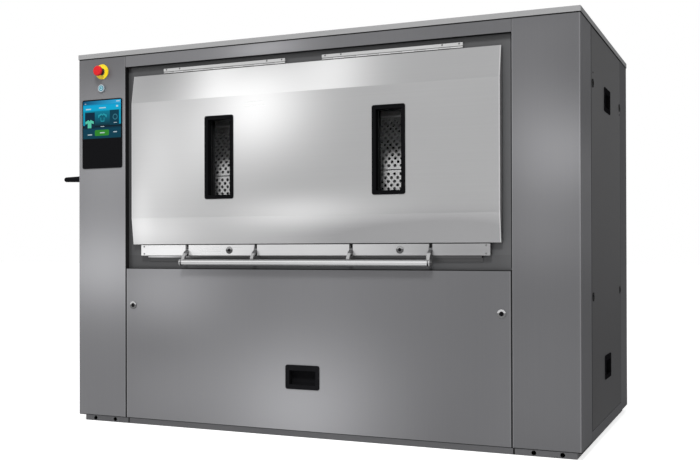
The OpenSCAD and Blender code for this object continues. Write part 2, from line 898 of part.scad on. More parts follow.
// The four places of the springs or of the dampers
module at_corners(y) {
  for (sx = [-1, 1], sy = [-1, 1]) translate([sx * spring_x, sy * y, 0]) children();
}

module suspension_springs() {
  wire = 14;
  color("#4a4d50")
    at_corners(spring_y) translate([0, 0, base_h]) difference() {
      ribbed(spring_r - wire / 2, spring_r, spring_h, 8);
      translate([0, 0, -eps]) cylinder(r = spring_r - wire, h = spring_h + 2 * eps);
    }
}

module damper_tubes() {
  color("#2b2d30")
    at_corners(damper_y) difference() {
      translate([0, 0, base_h]) cylinder(r = damper_r, h = damper_h);
      translate([0, 0, base_h + 10]) cylinder(r = 10 + loose_fit, h = damper_h);
    }
}

module damper_rods() {
  color("#c8cacd")
    at_corners(damper_y) translate([0, 0, base_h + 10 + 2 * float_travel + 10])
      cylinder(r = 10, h = spring_h - 20 - 2 * float_travel);
}

// Tub

// Shell with a neck to each bay
module outer_tub() {
  hw = mouth_w / 2;
  hh = mouth_h / 2;
  color("#a9acaf")
    difference() {
      union() {
        bar_x(tub_r, -tub_half, tub_half, 0, axis_z);
        block(-hw - tub_wall, hw + tub_wall, neck_y, -neck_y,
              door_mid - hh - tub_wall, door_mid + hh + tub_wall);
      }
      bar_x(tub_r - tub_wall, -tub_half - eps, tub_half + eps, 0, axis_z);
      block(-hw, hw, neck_y - eps, -neck_y + eps, door_mid - hh, door_mid + hh);
      translate([drain_x, 0, axis_z - tub_r - 10]) cylinder(r = drain_r, h = 40);
    }
}

// End plates with radial ribs; the left one has the inlet stub
module tub_ends() {
  rib_t = 8;
  rib_d = 35;
  color("#9b9ea1") {
    for (s = [-1, 1]) scale([s, 1, 1]) difference() {
      union() {
        bar_x(tub_end_r, tub_half, tub_half + end_t, 0, axis_z);
        for (i = [0:7])
          translate([0, 0, axis_z]) rotate([45 * i + 22.5, 0, 0])
            block(tub_half + end_t, tub_half + end_t + rib_d, -rib_t / 2, rib_t / 2,
                  135, tub_r - 20);
        if (s < 0) bar_x(22, tub_half + end_t, tub_half + end_t + 40, 0, inlet_z);
      }
      bar_x(housing_r + run_fit, tub_half - eps, tub_half + end_t + eps, 0, axis_z);
      if (s < 0) bar_x(18, tub_half - eps, tub_half + end_t + 41, 0, inlet_z);
    }
  }
}

// Beams on the springs, with saddles under the tub
module tub_cradle() {
  color("#3c3f42")
    for (s = [-1, 1]) scale([s, 1, 1]) {
      tube_y(spring_x - cradle_w / 2, spring_x + cradle_w / 2, -cradle_half, cradle_half,
             seat_z, seat_z + cradle_h);
      difference() {
        for (x = [-40, 30])
          block(spring_x + x, spring_x + x + saddle_t, -saddle_half, saddle_half,
                seat_z + cradle_h, axis_z - saddle_drop);
        bar_x(tub_r + loose_fit, spring_x - 50, spring_x + 50, 0, axis_z);
      }
    }
}

// Housings bolted to the tub ends, with two bearings in each
module bearing_housings() {
  for (s = [-1, 1]) scale([s, 1, 1]) {
    color("#565a5e") difference() {
      union() {
        bar_x(125, tub_half + end_t, tub_half + end_t + 12, 0, axis_z);
        bar_x(housing_r, tub_half, tub_half + housing_out, 0, axis_z);
      }
      bar_x(bearing_r, tub_half - eps, tub_half + housing_out + eps, 0, axis_z);
    }
    color("#b0b3b6") for (x = [12, 70])
      difference() {
        bar_x(bearing_r - run_fit, tub_half + x, tub_half + x + 26, 0, axis_z);
        bar_x(shaft_r, tub_half + x - eps, tub_half + x + 26 + eps, 0, axis_z);
      }
  }
}

// Motor on its bracket at the end of the right beam
module motor() {
  color("#33506b") {
    difference() {
      union() {
        bar_x(motor_r, motor_x, motor_x + motor_len - 30, 0, motor_z);
        bar_x(motor_r - 30, motor_x + motor_len - 30, motor_x + motor_len - 14, 0, motor_z);
        for (i = [0:11])
          translate([0, 0, motor_z]) rotate([30 * i, 0, 0])
            block(motor_x + 20, motor_x + motor_len - 50, -2, 2, motor_r - 10, motor_r + fin_h);
      }
      bar_x(12 + run_fit, motor_x + 40, motor_x + motor_len, 0, motor_z);
    }
    difference() {
      block(motor_x - 10, motor_x, -motor_r - 8, motor_r + 8, seat_z, motor_z + motor_r);
      block(motor_x - 11, motor_x + 1, -20, 20, motor_z - 20, motor_z + 20);
    }
  }
}

module drive_belt() {
  gap = loose_fit;
  color("#1a1a1a")
    translate([pulley_x, 0, 0]) rotate([90, 0, 90]) linear_extrude(pulley_w)
      difference() {
        hull() {
          translate([0, axis_z]) circle(r = drum_pulley_r + gap + belt_t);
          translate([0, motor_z]) circle(r = motor_pulley_r + gap + belt_t);
        }
        hull() {
          translate([0, axis_z]) circle(r = drum_pulley_r + gap);
          translate([0, motor_z]) circle(r = motor_pulley_r + gap);
        }
      }
}

// Valve body under the tub, with its actuator
module drain_valve() {
  color("#4c5054")
    difference() {
      union() {
        translate([drain_x, 0, drain_top - drain_h]) cylinder(r = drain_r + 8, h = drain_h);
        block(drain_x + 40, drain_x + 150, -30, 30, drain_top - 68, drain_top - 12);
      }
      translate([drain_x, 0, drain_top - drain_h - eps])
        cylinder(r = drain_r - 5, h = drain_h + 2 * eps);
    }
}

module motor_pulley() {
  shaft_end = motor_x + 45;
  color("#8a8d90") {
    bar_x(motor_pulley_r, pulley_x, pulley_x + pulley_w, 0, motor_z);
    bar_x(12, shaft_end, pulley_x + 1, 0, motor_z);
  }
}

// Drum

// Direction of an angle above the -Y axis, as a place in the YZ plane
function around(a, r) = [-r * cos(a), r * sin(a)];

// A wedge of the full drum between two angles
module wedge(a0, a1, x0, x1) {
  far = drum_r * 1.4;
  translate([x0, 0, axis_z]) rotate([90, 0, 90]) linear_extrude(x1 - x0)
    polygon([[0, 0], around(a0, far), around((a0 + a1) / 2, far), around(a1, far)]);
}

// Moves its children to an angle and radius round the drum; their +Z then points outwards
module on_drum(a, r) {
  translate([0, 0, axis_z]) rotate([90 - a, 0, 0]) translate([0, 0, r]) children();
}

// Angles of the pins of the leaves' hinges
pin_deg = leaf_heel / leaf_pin_at * 180 / PI;
upper_pin_deg = hatchway_high - pin_deg;
lower_pin_deg = hatchway_low + pin_deg;

// Shell with three lifting ribs, bars beside the opening, and the leaves' pins
module drum_shell() {
  hatch_half = hatchway_w / 2;
  color("#b4b7ba") {
    difference() {
      bar_x(drum_r, -drum_half, drum_half, 0, axis_z);
      bar_x(drum_r - drum_wall, -drum_half - eps, drum_half + eps, 0, axis_z);
      wedge(hatchway_low, hatchway_high, -hatch_half, hatch_half);
    }
    for (k = [1:3])
      on_drum(hatchway_mid + 90 * k, drum_r - drum_wall) lifter();
    for (a = [hatchway_low - 1.6, hatchway_high + 1.6])
      on_drum(a, drum_r) block(-drum_half + 5, drum_half - 5, -9, 9, -1, 4);
    for (a = [upper_pin_deg, lower_pin_deg]) {
      on_drum(a, leaf_pin_at) bar_x(leaf_pin_r, -hatch_half - 4, hatch_half + 4);
      for (s = [-1, 1]) scale([s, 1, 1])
        on_drum(a, leaf_pin_at) block(hatch_half + 1, hatch_half + 14, -7, 7, -8, 11);
    }
  }
}

// A hollow lifting rib with a sloping side each way, closed at its ends
module lifter() {
  rotate([90, 0, 90]) difference() {
    translate([0, 0, -drum_half + 20]) linear_extrude(drum_len - 40)
      polygon([[-60, -3], [-14, -lifter_h], [14, -lifter_h], [60, -3], [60, -1], [-60, -1]]);
    translate([0, 0, -drum_half + 23]) linear_extrude(drum_len - 46)
      polygon([[-52, -5], [-12.5, -lifter_h + 3], [12.5, -lifter_h + 3], [52, -5]]);
  }
}

// Discs with a hub and a stub shaft each
module drum_ends() {
  color("#9fa2a5") {
    for (s = [-1, 1]) scale([s, 1, 1]) {
      bar_x(drum_r, drum_half, drum_half + drum_end_t, 0, axis_z);
      bar_x(110, drum_half + drum_end_t, drum_half + drum_end_t + hub_t, 0, axis_z);
      bar_x(shaft_r - run_fit, drum_half + drum_end_t, tub_half + housing_out + 4, 0, axis_z);
    }
    bar_x(shaft_r - 5, tub_half + housing_out + 4, pulley_x + pulley_w + 8, 0, axis_z);
  }
}

// Spoked pulley on the right shaft
module drum_pulley() {
  color("#6c7074")
    difference() {
      union() {
        difference() {
          bar_x(drum_pulley_r, pulley_x, pulley_x + pulley_w, 0, axis_z);
          bar_x(drum_pulley_r - 16, pulley_x - eps, pulley_x + pulley_w + eps, 0, axis_z);
        }
        bar_x(70, pulley_x, pulley_x + pulley_w, 0, axis_z);
        for (i = [0:5])
          translate([0, 0, axis_z]) rotate([60 * i, 0, 0])
            block(pulley_x + 15, pulley_x + pulley_w - 15, -15, 15, 60, drum_pulley_r - 10);
      }
      bar_x(shaft_r - 5 + run_fit, pulley_x - eps, pulley_x + pulley_w + eps, 0, axis_z);
    }
}

// One leaf of the drum's opening, between two angles, with its knuckles at pin angle p
module leaf(a0, a1, p, lip) {
  half = hatchway_w / 2 - 2;
  n = 5;
  color("#bcbfc2")
    difference() {
      union() {
        intersection() {
          difference() {
            bar_x(drum_r, -half, half, 0, axis_z);
            bar_x(drum_r - drum_wall, -half - eps, half + eps, 0, axis_z);
          }
          wedge(a0, a1, -half - eps, half + eps);
        }
        for (i = [0:n - 1]) {
          x = -half + 40 + i * (2 * half - 140) / (n - 1);
          on_drum(p, leaf_pin_at) bar_x(8, x, x + 60);
          on_drum(p, leaf_pin_at) block(x, x + 60, -5, 5, 5, 11);
        }
        on_drum(lip, drum_r - 16) block(-half + 10, half - 10, -1.5, 1.5, 0, 14);
      }
      on_drum(p, leaf_pin_at) bar_x(leaf_pin_r + run_fit, -half - 5, half + 5);
    }
}
module drum_leaf_upper() {
  leaf(hatchway_mid + leaf_gap_deg, hatchway_high - leaf_gap_deg, upper_pin_deg,
       hatchway_mid + 0.6);
}
module drum_leaf_lower() {
  leaf(hatchway_low + leaf_gap_deg, hatchway_mid - leaf_gap_deg, lower_pin_deg,
       hatchway_mid - 0.6);
}

// Door

// Outline of the door cover from its liner to its face, as places in the YZ plane
function cover_outline(t) = [
  [liner_y + (t > 0 ? eps : 0), door_bottom + t],
  [front_y + bottom_edge_in + t, door_bottom + t],
  [face_y + t, door_bottom + bevel_bottom],
  [face_y + t, door_top - bevel_top],
  [front_y + top_edge_in + t, door_top - t],
  [liner_y + (t > 0 ? eps : 0), door_top - t]
];

// Through holes for both windows
module window_holes(w, h, y0, y1) {
  for (s = [-1, 1])
    block(s * window_x - w / 2, s * window_x + w / 2, y0, y1,
          window_z - h / 2, window_z + h / 2);
}

// Folded stainless cover with a bevel above and below
module door_cover() {
  difference() {
    rotate([90, 0, 90]) linear_extrude(door_w, center = true) polygon(cover_outline(0));
    rotate([90, 0, 90]) linear_extrude(door_w - 2 * sheet, center = true)
      polygon(cover_outline(sheet));
    window_holes(window_w - 12, window_h - 12, face_y - eps, liner_y);
  }
}

// Back plate with the plug that enters the mouth, and the door's hinge knuckles
module door_liner() {
  half = door_w / 2 - 3;
  pw = mouth_w / 2 - plug_clear;
  ph = mouth_h / 2 - plug_clear;
  difference() {
    union() {
      block(-half, half, liner_y, liner_back_y, door_bottom + 1, door_top - 3);
      block(-rail_w / 2, rail_w / 2, liner_y, liner_back_y, rail_bottom, door_bottom + 2);
      difference() {
        block(-pw, pw, liner_back_y - 1, plug_back_y, door_mid - ph, door_mid + ph);
        block(-pw + sheet, pw - sheet, liner_back_y, plug_back_y - sheet,
              door_mid - ph + sheet, door_mid + ph - sheet);
      }
      for (s = [-1, 1], k = [0:knuckles - 1]) {
        x0 = (s > 0 ? strip_in : -strip_out) + (k + 0.5) * knuckle_pitch + 0.5;
        x1 = x0 + knuckle_pitch / 2 - 1;
        bar_x(hinge_r, x0, x1, hinge_y, hinge_z);
        block(x0, x1, liner_y, liner_back_y, door_top - 4, hinge_z);
      }
    }
    bar_x(hinge_pin_r + run_fit, -strip_out - 1, strip_out + 1, hinge_y, hinge_z);
    window_holes(window_w - 2 * window_wall, window_h - 2 * window_wall,
                 liner_y - eps, plug_back_y + eps);
    finger_slots(liner_y - eps, liner_back_y + eps);
  }
}

// Black frames round the panes
module window_frames() {
  body_w = window_w - 12 - 0.4;
  body_h = window_h - 12 - 0.4;
  difference() {
    union() {
      for (s = [-1, 1])
        round_plate(window_w, window_h, 8, s * window_x, window_z, face_y - 2.5, face_y);
      window_holes(body_w, body_h, face_y - 1, liner_y);
    }
    window_holes(window_w - 2 * window_wall, window_h - 2 * window_wall,
                 face_y - 4, liner_y + eps);
    window_holes(window_w - 2 * window_wall + 8, window_h - 2 * window_wall + 8,
                 pane_y - 0.2, liner_y + eps);
  }
}
pane_y = face_y - 2.5 + pane_recess;
module window_panes() {
  window_holes(window_w - 2 * window_wall + 7.6, window_h - 2 * window_wall + 7.6,
               pane_y, min(pane_y + pane_t, liner_y));
}

// Rubber ring behind the liner
module door_seal() {
  w = 18;
  a = 4;
  difference() {
    block(-mouth_w / 2 - a - w, mouth_w / 2 + a + w, liner_back_y, bay_y - loose_fit,
          door_mid - mouth_h / 2 - a - w, door_mid + mouth_h / 2 + a + w);
    block(-mouth_w / 2 - a, mouth_w / 2 + a, liner_back_y - eps, bay_y + eps,
          door_mid - mouth_h / 2 - a, door_mid + mouth_h / 2 + a);
  }
}

// Five hollow lengths of the latch rail, with a pin across each slot
module latch_rail() {
  edges = concat([-rail_w / 2 - slot_w / 2], arm_xs, [rail_w / 2 + slot_w / 2]);
  difference() {
    union() {
      for (i = [0:4])
        difference() {
          block(edges[i] + slot_w / 2, edges[i + 1] - slot_w / 2, front_y, liner_y,
                rail_bottom, rail_top);
          block(edges[i] + slot_w / 2 + rail_wall, edges[i + 1] - slot_w / 2 - rail_wall,
                front_y + rail_wall, liner_y - rail_wall,
                rail_bottom + rail_wall, rail_top - rail_wall);
        }
      for (x = arm_xs)
        bar_x(pivot_r, x - slot_w / 2 - 1, x + slot_w / 2 + 1, pivot_y, rail_mid);
    }
    for (x = [rail_lock_left_x, rail_lock_right_x])
      rod_y(9.1, front_y - eps, front_y + rail_wall + eps, x, rail_mid);
  }
  for (x = [rail_lock_left_x, rail_lock_right_x])
    translate([x, front_y, rail_mid]) difference() {
      union() {
        rod_y(rail_bezel_r, -2.5, 0);
        rod_y(9, -1, 6);
      }
      rod_y(6 + run_fit, -3.5, 7);
    }
}

// Core and cam of a lock in the latch rail
module rail_lock(x) {
  translate([x, front_y, rail_mid]) {
    difference() {
      rod_y(6, -2, 7.5);
      block(-1, 1, -3, 0.5, -4, 4);
    }
    block(0, 14, 6.5, 9, -5, 5);
  }
}

// Handle bar with its arms; each arm turns on a pin in the latch rail
module door_handle() {
  difference() {
    union() {
      bar_x(bar_d / 2, -bar_half, bar_half, bar_y, bar_z);
      for (s = [-1, 1])
        translate([s * (bar_half + arm_t / 2), 0, 0])
          bar_x(bar_d / 2 + 2, -2 + s * 2, 2 + s * 2, bar_y, bar_z);
      for (x = arm_xs) translate([x - arm_t / 2, 0, 0]) arm();
    }
    for (x = arm_xs)
      bar_x(pivot_r + run_fit, x - arm_t, x + arm_t, pivot_y, rail_mid);
  }
}

// One arm: eye, straight, quarter bend to the bar, and the latch finger behind
module arm() {
  bar_x(6.5, 0, arm_t, pivot_y, rail_mid);
  block(0, arm_t, bend_y, finger_y, rail_mid - arm_h / 2, rail_mid + arm_h / 2);
  translate([0, bend_y, bend_z]) rotate([90, 0, 90]) rotate_extrude_quarter();
}
module rotate_extrude_quarter() {
  difference() {
    cylinder(r = arm_bend_r + arm_h / 2, h = arm_t);
    translate([0, 0, -eps]) cylinder(r = arm_bend_r - arm_h / 2, h = arm_t + 2 * eps);
    translate([0, -100, -eps]) cube([100, 200, arm_t + 2 * eps]);
    translate([-100, -100, -eps]) cube([200, 100, arm_t + 2 * eps]);
  }
}

module front_door_cover() { color("#cfd1d4") door_cover(); }
module front_door_liner() { color("#a5a8ab") door_liner(); }
module front_window_frames() { color("#0f0f10") window_frames(); }
module front_window_panes() { color([0.6, 0.7, 0.72, 0.4]) window_panes(); }
module front_door_seal() { color("#202124") door_seal(); }
module front_latch_rail() { color("#cbcdd0") latch_rail(); }
module front_door_handle() { color("#d2d4d7") door_handle(); }
module rail_lock_left() { color("#232426") rail_lock(rail_lock_left_x); }
module rail_lock_right() { color("#232426") rail_lock(rail_lock_right_x); }
module rear_door_cover() { color("#cfd1d4") turned() door_cover(); }
// The rear door's liner, its latch rail and the cores of its locks
module rear_door_liner() {
  color("#a5a8ab") turned() {
    door_liner();
    latch_rail();
  }
  color("#232426") turned() {
    rail_lock(rail_lock_left_x);
    rail_lock(rail_lock_right_x);
  }
}
// The rear door's window frames and seal
module rear_door_trim() {
  color("#0f0f10") turned() {
    window_frames();
    door_seal();
  }
}
module rear_window_panes() { color([0.6, 0.7, 0.72, 0.4]) turned() window_panes(); }
module rear_door_handle() { color("#d2d4d7") turned() door_handle(); }

base_frame();
upright_frame();
kick_plates();
front_left_column();
front_right_column();
rear_columns();
lintels();
front_lower_panel();
rear_lower_panel();
front_surround();
rear_surround();
top_cover();
side_hatches();
recessed_pulls();
hinge_strips();
door_keepers();
screen_glass();
screen_housing();
pushbutton_bases();
isolator_base();
electrical_box();
water_fittings();
water_hoses();
mouth_bellows();
suspension_springs();
damper_tubes();
lock_bodies();
estop_button();
power_button();
isolator_lever();
panel_lock_left();
panel_lock_right();
outer_tub();
tub_ends();
tub_cradle();
bearing_housings();
damper_rods();
motor();
drive_belt();
drain_valve();
motor_pulley();
drum_shell();
drum_ends();
drum_pulley();
drum_leaf_upper();
drum_leaf_lower();
front_door_cover();
front_door_liner();
front_window_frames();
front_window_panes();
front_door_seal();
front_latch_rail();
front_door_handle();
rail_lock_left();
rail_lock_right();
rear_door_cover();
rear_door_liner();
rear_door_trim();
rear_window_panes();
rear_door_handle();
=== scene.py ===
import math
import bmesh
import bpy
from mathutils import Matrix, Vector


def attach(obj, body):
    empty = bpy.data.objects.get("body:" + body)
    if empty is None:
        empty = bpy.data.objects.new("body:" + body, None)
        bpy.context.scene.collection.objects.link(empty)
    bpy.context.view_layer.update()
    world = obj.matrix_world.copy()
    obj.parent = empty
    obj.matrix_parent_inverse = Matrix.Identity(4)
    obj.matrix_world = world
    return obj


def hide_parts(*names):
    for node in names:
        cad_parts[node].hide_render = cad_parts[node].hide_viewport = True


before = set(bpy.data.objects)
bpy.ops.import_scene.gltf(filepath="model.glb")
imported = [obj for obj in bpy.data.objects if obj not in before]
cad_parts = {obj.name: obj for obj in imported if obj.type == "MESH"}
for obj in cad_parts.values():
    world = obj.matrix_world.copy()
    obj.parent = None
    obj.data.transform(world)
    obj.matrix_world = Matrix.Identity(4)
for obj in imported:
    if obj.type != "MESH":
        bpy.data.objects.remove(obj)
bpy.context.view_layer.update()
scene = bpy.context.scene
scene.view_settings.view_transform = "Standard"


# Camera. It stands in front of the right half, a little under the middle of the machine,
# and looks level to the left, so the front and the right side both show.

camera_place = Vector((1.5589, -3.7212, 0.6824))
camera_yaw = math.radians(23.32)
camera_pitch = math.radians(0.278)
camera_roll = math.radians(-0.137)

camera = bpy.data.objects.new("camera", bpy.data.cameras.new("camera"))
camera.data.lens = 50.09
camera.data.sensor_width = 36.0
camera.data.shift_y = 0.0170
camera.matrix_world = (
    Matrix.Translation(camera_place)
    @ Matrix.Rotation(camera_yaw, 4, "Z")
    @ Matrix.Rotation(math.pi / 2 + camera_pitch, 4, "X")
    @ Matrix.Rotation(camera_roll, 4, "Z")
)
scene.collection.objects.link(camera)
scene.camera = camera


# Studio. A pale floor and a white surround, a small strong lamp high in front, a wide weak
# one on the left and one overhead. The right side of the machine is left in soft shade.


class Wire:
    """A socket of a node tree. Arithmetic on wires adds Math nodes to that tree."""

    def __init__(self, tree, socket=None):
        self.tree = tree
        self.socket = socket

    def node(self, kind, values=None, output=0, stops=(), **settings):
        """Adds a node, first with its settings, then with its values or wires."""
        made = self.tree.nodes.new(kind)
        for name, setting in settings.items():
            setattr(made, name, setting)
        if stops:
            elements = made.color_ramp.elements
            while len(elements) < len(stops):
                elements.new(1.0)
            for element, (place, colour) in zip(elements, stops):
                element.position = place
                element.color = (*colour, 1.0)
        for key, value in (values or {}).items():
            for each in value if isinstance(value, list) else [value]:
                if isinstance(each, Wire):
                    self.tree.links.new(each.socket, made.inputs[key])
                else:
                    made.inputs[key].default_value = each
        return Wire(self.tree, made.outputs[output])

    def math(self, operation, *values):
        return self.node("ShaderNodeMath", dict(enumerate(values)), operation=operation)

    def __add__(self, other):
        return self.math("ADD", self, other)

    def __radd__(self, other):
        return self.math("ADD", other, self)

    def __sub__(self, other):
        return self.math("SUBTRACT", self, other)

    def __rsub__(self, other):
        return self.math("SUBTRACT", other, self)

    def __mul__(self, other):
        return self.math("MULTIPLY", self, other)

    def __rmul__(self, other):
        return self.math("MULTIPLY", other, self)

    def __truediv__(self, other):
        return self.math("DIVIDE", self, other)

    def __mod__(self, other):
        return self.math("FLOORED_MODULO", self, other)

    def __gt__(self, other):
        return self.math("GREATER_THAN", self, other)

    def __lt__(self, other):
        return self.math("LESS_THAN", self, other)

    def __abs__(self):
        return self.math("ABSOLUTE", self)


def seen_directly(tree):
    """1 for rays from the camera, from gloss and through glass, else 0."""
    rays = Wire(tree).node("ShaderNodeLightPath", output="Is Camera Ray")
    gloss = rays.node("ShaderNodeLightPath", output="Is Glossy Ray")
    through = rays.node("ShaderNodeLightPath", output="Is Transmission Ray")
    return rays.math("MAXIMUM", rays.math("MAXIMUM", rays, gloss), through)


ambient = 0.28
world = bpy.data.worlds.new("white studio")
world.use_nodes = True
scene.world = world
surround_light = world.node_tree.nodes["Background"]
surround_light.inputs["Color"].default_value = (1.0, 1.0, 1.0, 1.0)
shown = seen_directly(world.node_tree)
strength = shown * (1.0 - ambient) + ambient
world.node_tree.links.new(strength.socket, surround_light.inputs["Strength"])

floor_half = 40.0
floor_mesh = bpy.data.meshes.new("floor")
floor_mesh.from_pydata(
    [(x * floor_half, y * floor_half, 0.0) for x, y in ((-1, -1), (1, -1), (1, 1), (-1, 1))],
    [],
    [(0, 1, 2, 3)],
)
floor_finish = bpy.data.materials.new("pale floor")
floor_finish.use_nodes = True
floor_shader = floor_finish.node_tree.nodes["Principled BSDF"]
floor_shader.inputs["Base Color"].default_value = (0.82, 0.82, 0.82, 1.0)
floor_shader.inputs["Roughness"].default_value = 0.7
floor_shader.inputs["Emission Color"].default_value = (1.0, 1.0, 1.0, 1.0)
shown = seen_directly(floor_finish.node_tree)
floor_finish.node_tree.links.new(
    (shown * 0.72).socket, floor_shader.inputs["Emission Strength"]
)
floor_mesh.materials.append(floor_finish)
floor = bpy.data.objects.new("floor", floor_mesh)
scene.collection.objects.link(floor)

lamps = {
    "high front lamp": ((0.9, -3.8, 4.4), (0.0, -0.5, 0.9), 0.9, 210.0),
    "wide lamp left": ((-3.6, -3.6, 2.4), (-0.3, -0.4, 0.9), 2.6, 34.0),
    "overhead lamp": ((0.0, 0.0, 4.4), (0.0, 0.0, 1.0), 2.4, 34.0),
}
for lamp_name, (place, aim, size, watts) in lamps.items():
    lamp_data = bpy.data.lights.new(lamp_name, "AREA")
    lamp_data.shape = "SQUARE"
    lamp_data.size = size
    lamp_data.energy = watts
    lamp = bpy.data.objects.new(lamp_name, lamp_data)
    lamp.visible_glossy = False
    lamp.location = place
    lamp.rotation_euler = (Vector(aim) - Vector(place)).to_track_quat("-Z", "Y").to_euler()
    scene.collection.objects.link(lamp)


# Columns. Tall cabinet posts folded from satin stainless sheet, each with a narrow front
# face and a side face; the left one carries the controls. The folds are rounded, with a
# fine painted highlight line along some of them. Over a fine upright grain and faint random
# patches the finish carries broad soft painted highlights and shade, painted shade on the
# side faces, and painted shadow lines under the lid and at the foot.


def islands(mesh):
    """The separate closed shells of a bmesh, each as a set of its faces."""
    left = set(mesh.faces)
    while left:
        group = {left.pop()}
        front = list(group)
        while front:
            for edge in front.pop().edges:
                for face in edge.link_faces:
                    if face in left:
                        left.remove(face)
                        group.add(face)
                        front.append(face)
        yield group


def dressed(node, name, fold=0.0, least_turn=20.0, shortest=0.08, sheet=0.004, only=None):
    """A clean copy of a CAD part. Its outer folds longer than shortest are rounded by fold,
    and only=test keeps the shells whose middle passes the test."""
    mesh = bmesh.new()
    mesh.from_mesh(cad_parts[node].data)
    bmesh.ops.remove_doubles(mesh, verts=mesh.verts[:], dist=1e-6)
    if only:
        for group in list(islands(mesh)):
            corners = [v.co for face in group for v in face.verts]
            middle = Vector(
                (min(c[i] for c in corners) + max(c[i] for c in corners)) / 2
                for i in range(3)
            )
            if not only(middle):
                bmesh.ops.delete(mesh, geom=list(group), context="FACES")
    bmesh.ops.dissolve_limit(
        mesh, angle_limit=math.radians(0.3), verts=mesh.verts[:], edges=mesh.edges[:]
    )
    bmesh.ops.connect_verts_concave(mesh, faces=mesh.faces[:])
    if fold:
        folds = [
            edge
            for edge in mesh.edges
            if len(edge.link_faces) == 2
            and edge.calc_length() > shortest
            and edge.calc_face_angle_signed() > math.radians(least_turn)
            and all(f.calc_area() > sheet * edge.calc_length() for f in edge.link_faces)
        ]
        bmesh.ops.bevel(
            mesh, geom=folds, offset=fold, offset_type="OFFSET", segments=3,
            profile=0.5, affect="EDGES", clamp_overlap=True,
        )
    result = bpy.data.meshes.new(name)
    mesh.to_mesh(result)
    mesh.free()
    result.shade_smooth()
    result.set_sharp_from_angle(angle=math.radians(35))
    piece = bpy.data.objects.new(name, result)
    scene.collection.objects.link(piece)
    even = piece.modifiers.new("even shading", "WEIGHTED_NORMAL")
    even.keep_sharp = True
    even.weight = 100
    apply_modifiers(piece)
    return piece


def apply_modifiers(piece):
    """Turns a piece's modifiers into plain mesh."""
    graph = bpy.context.evaluated_depsgraph_get()
    made = bpy.data.meshes.new_from_object(piece.evaluated_get(graph), depsgraph=graph)
    piece.modifiers.clear()
    piece.data = made


def new_finish(name):
    """A new material: itself, its Principled shader and a wire of its Object coordinates."""
    finish = bpy.data.materials.new(name)
    finish.use_nodes = True
    tree = finish.node_tree
    shader = tree.nodes["Principled BSDF"]
    return finish, shader, Wire(tree).node("ShaderNodeTexCoord", output="Object")


def feed(shader, **wires):
    """Joins wires to a shader's sockets; an underscore in a name stands for a space."""
    for name, wire in wires.items():
        wire.tree.links.new(wire.socket, shader.inputs[name.replace("_", " ")])


def blend(share, first, second):
    """The first colour, a wire or (r, g, b), turning into the second as share goes to 1."""
    ends = [end if isinstance(end, Wire) else (*end, 1.0) for end in (first, second)]
    places = {0: share, 6: ends[0], 7: ends[1]}
    return share.node("ShaderNodeMix", places, output=2, data_type="RGBA")


def noise(place, scale, stretch=(1.0, 1.0, 1.0), detail=2.0):
    """Smooth noise around 0.5; stretch squeezes it along each axis."""
    squeezed = place.node("ShaderNodeMapping", {"Vector": place, "Scale": stretch})
    values = {"Vector": squeezed, "Scale": scale, "Detail": detail}
    return squeezed.node("ShaderNodeTexNoise", values)


def painted_spot(place, x, z, reach_x, reach_z):
    """A soft round patch of 1 at a place on a face, falling to 0 around it; it places painted
    highlights and painted shade.
    """
    across = (place.node("ShaderNodeSeparateXYZ", {0: place}, "X") - x) / reach_x
    up = (place.node("ShaderNodeSeparateXYZ", {0: place}, "Z") - z) / reach_z
    return across.math("EXPONENT", (across * across + up * up) * -1.0)


def within(place, limits):
    """1 between the two places that limits gives along each axis."""
    share = 1.0
    for axis, (low, high) in limits.items():
        along = place.node("ShaderNodeSeparateXYZ", {0: place}, axis)
        share = (along > low) * (along < high) * share
    return share


def steel(
    name, dull, bright, metallic, roughness, grain,
    level=0.5, painted_spots=(), patchy=0.2, rim=0.3, steps=(), painted_shade=(),
):
    """Satin stainless sheet between two tones: a level with painted highlights and painted
    shade as soft spots (x, z, reach in x, reach in z, amount), faint random patches, and a
    fine grain drawn out where grain is small. Steps (amount, limits, and x, z and reaches of
    a spot) shift a flat's tone as painted light or shade, and the last argument lists places
    painted near black as painted shadow."""
    patch_scale, line_tone, line_rough, line_h = 1.6, 0.03, 0.03, 0.0002
    # Painted shadow: a near black laid over most of the tone.
    painted_shade_share, painted_shade_black = 0.92, (0.008, 0.008, 0.008)
    finish, shader, place = new_finish(name)
    patches = noise(place, patch_scale, detail=1.0) - 0.5
    lines = noise(place, 1.0, grain, 2.0) - 0.5
    tone = patches * (patchy * 2.0) + lines * line_tone + level
    # Painted highlights and painted shade, as soft spots that lift or lower the tone.
    for x, z, reach_x, reach_z, amount in painted_spots:
        tone = tone + painted_spot(place, x, z, reach_x, reach_z) * amount
    # Painted light and shade on whole flats or parts of them.
    for amount, limits, *soft in steps:
        share = within(place, limits) * amount
        tone = tone + (share * painted_spot(place, *soft) if soft else share)
    tone = tone.node("ShaderNodeClamp", {0: tone})
    colour = blend(tone, dull, bright)
    # Painted shadow in gaps between parts and on faces turned from the light.
    for limits in painted_shade:
        colour = blend(within(place, limits) * painted_shade_share, colour, painted_shade_black)
    shader.inputs["Metallic"].default_value = metallic
    shader.inputs["Specular IOR Level"].default_value = 0.0
    shader.inputs["Specular Tint"].default_value = (rim, rim, rim, 1.0)
    relief = {"Height": lines, "Strength": 0.006, "Distance": line_h}
    feed(
        shader,
        Base_Color=colour,
        Roughness=roughness + lines * line_rough + (tone - 0.5) * -0.06,
        Normal=lines.node("ShaderNodeBump", relief),
    )
    return finish


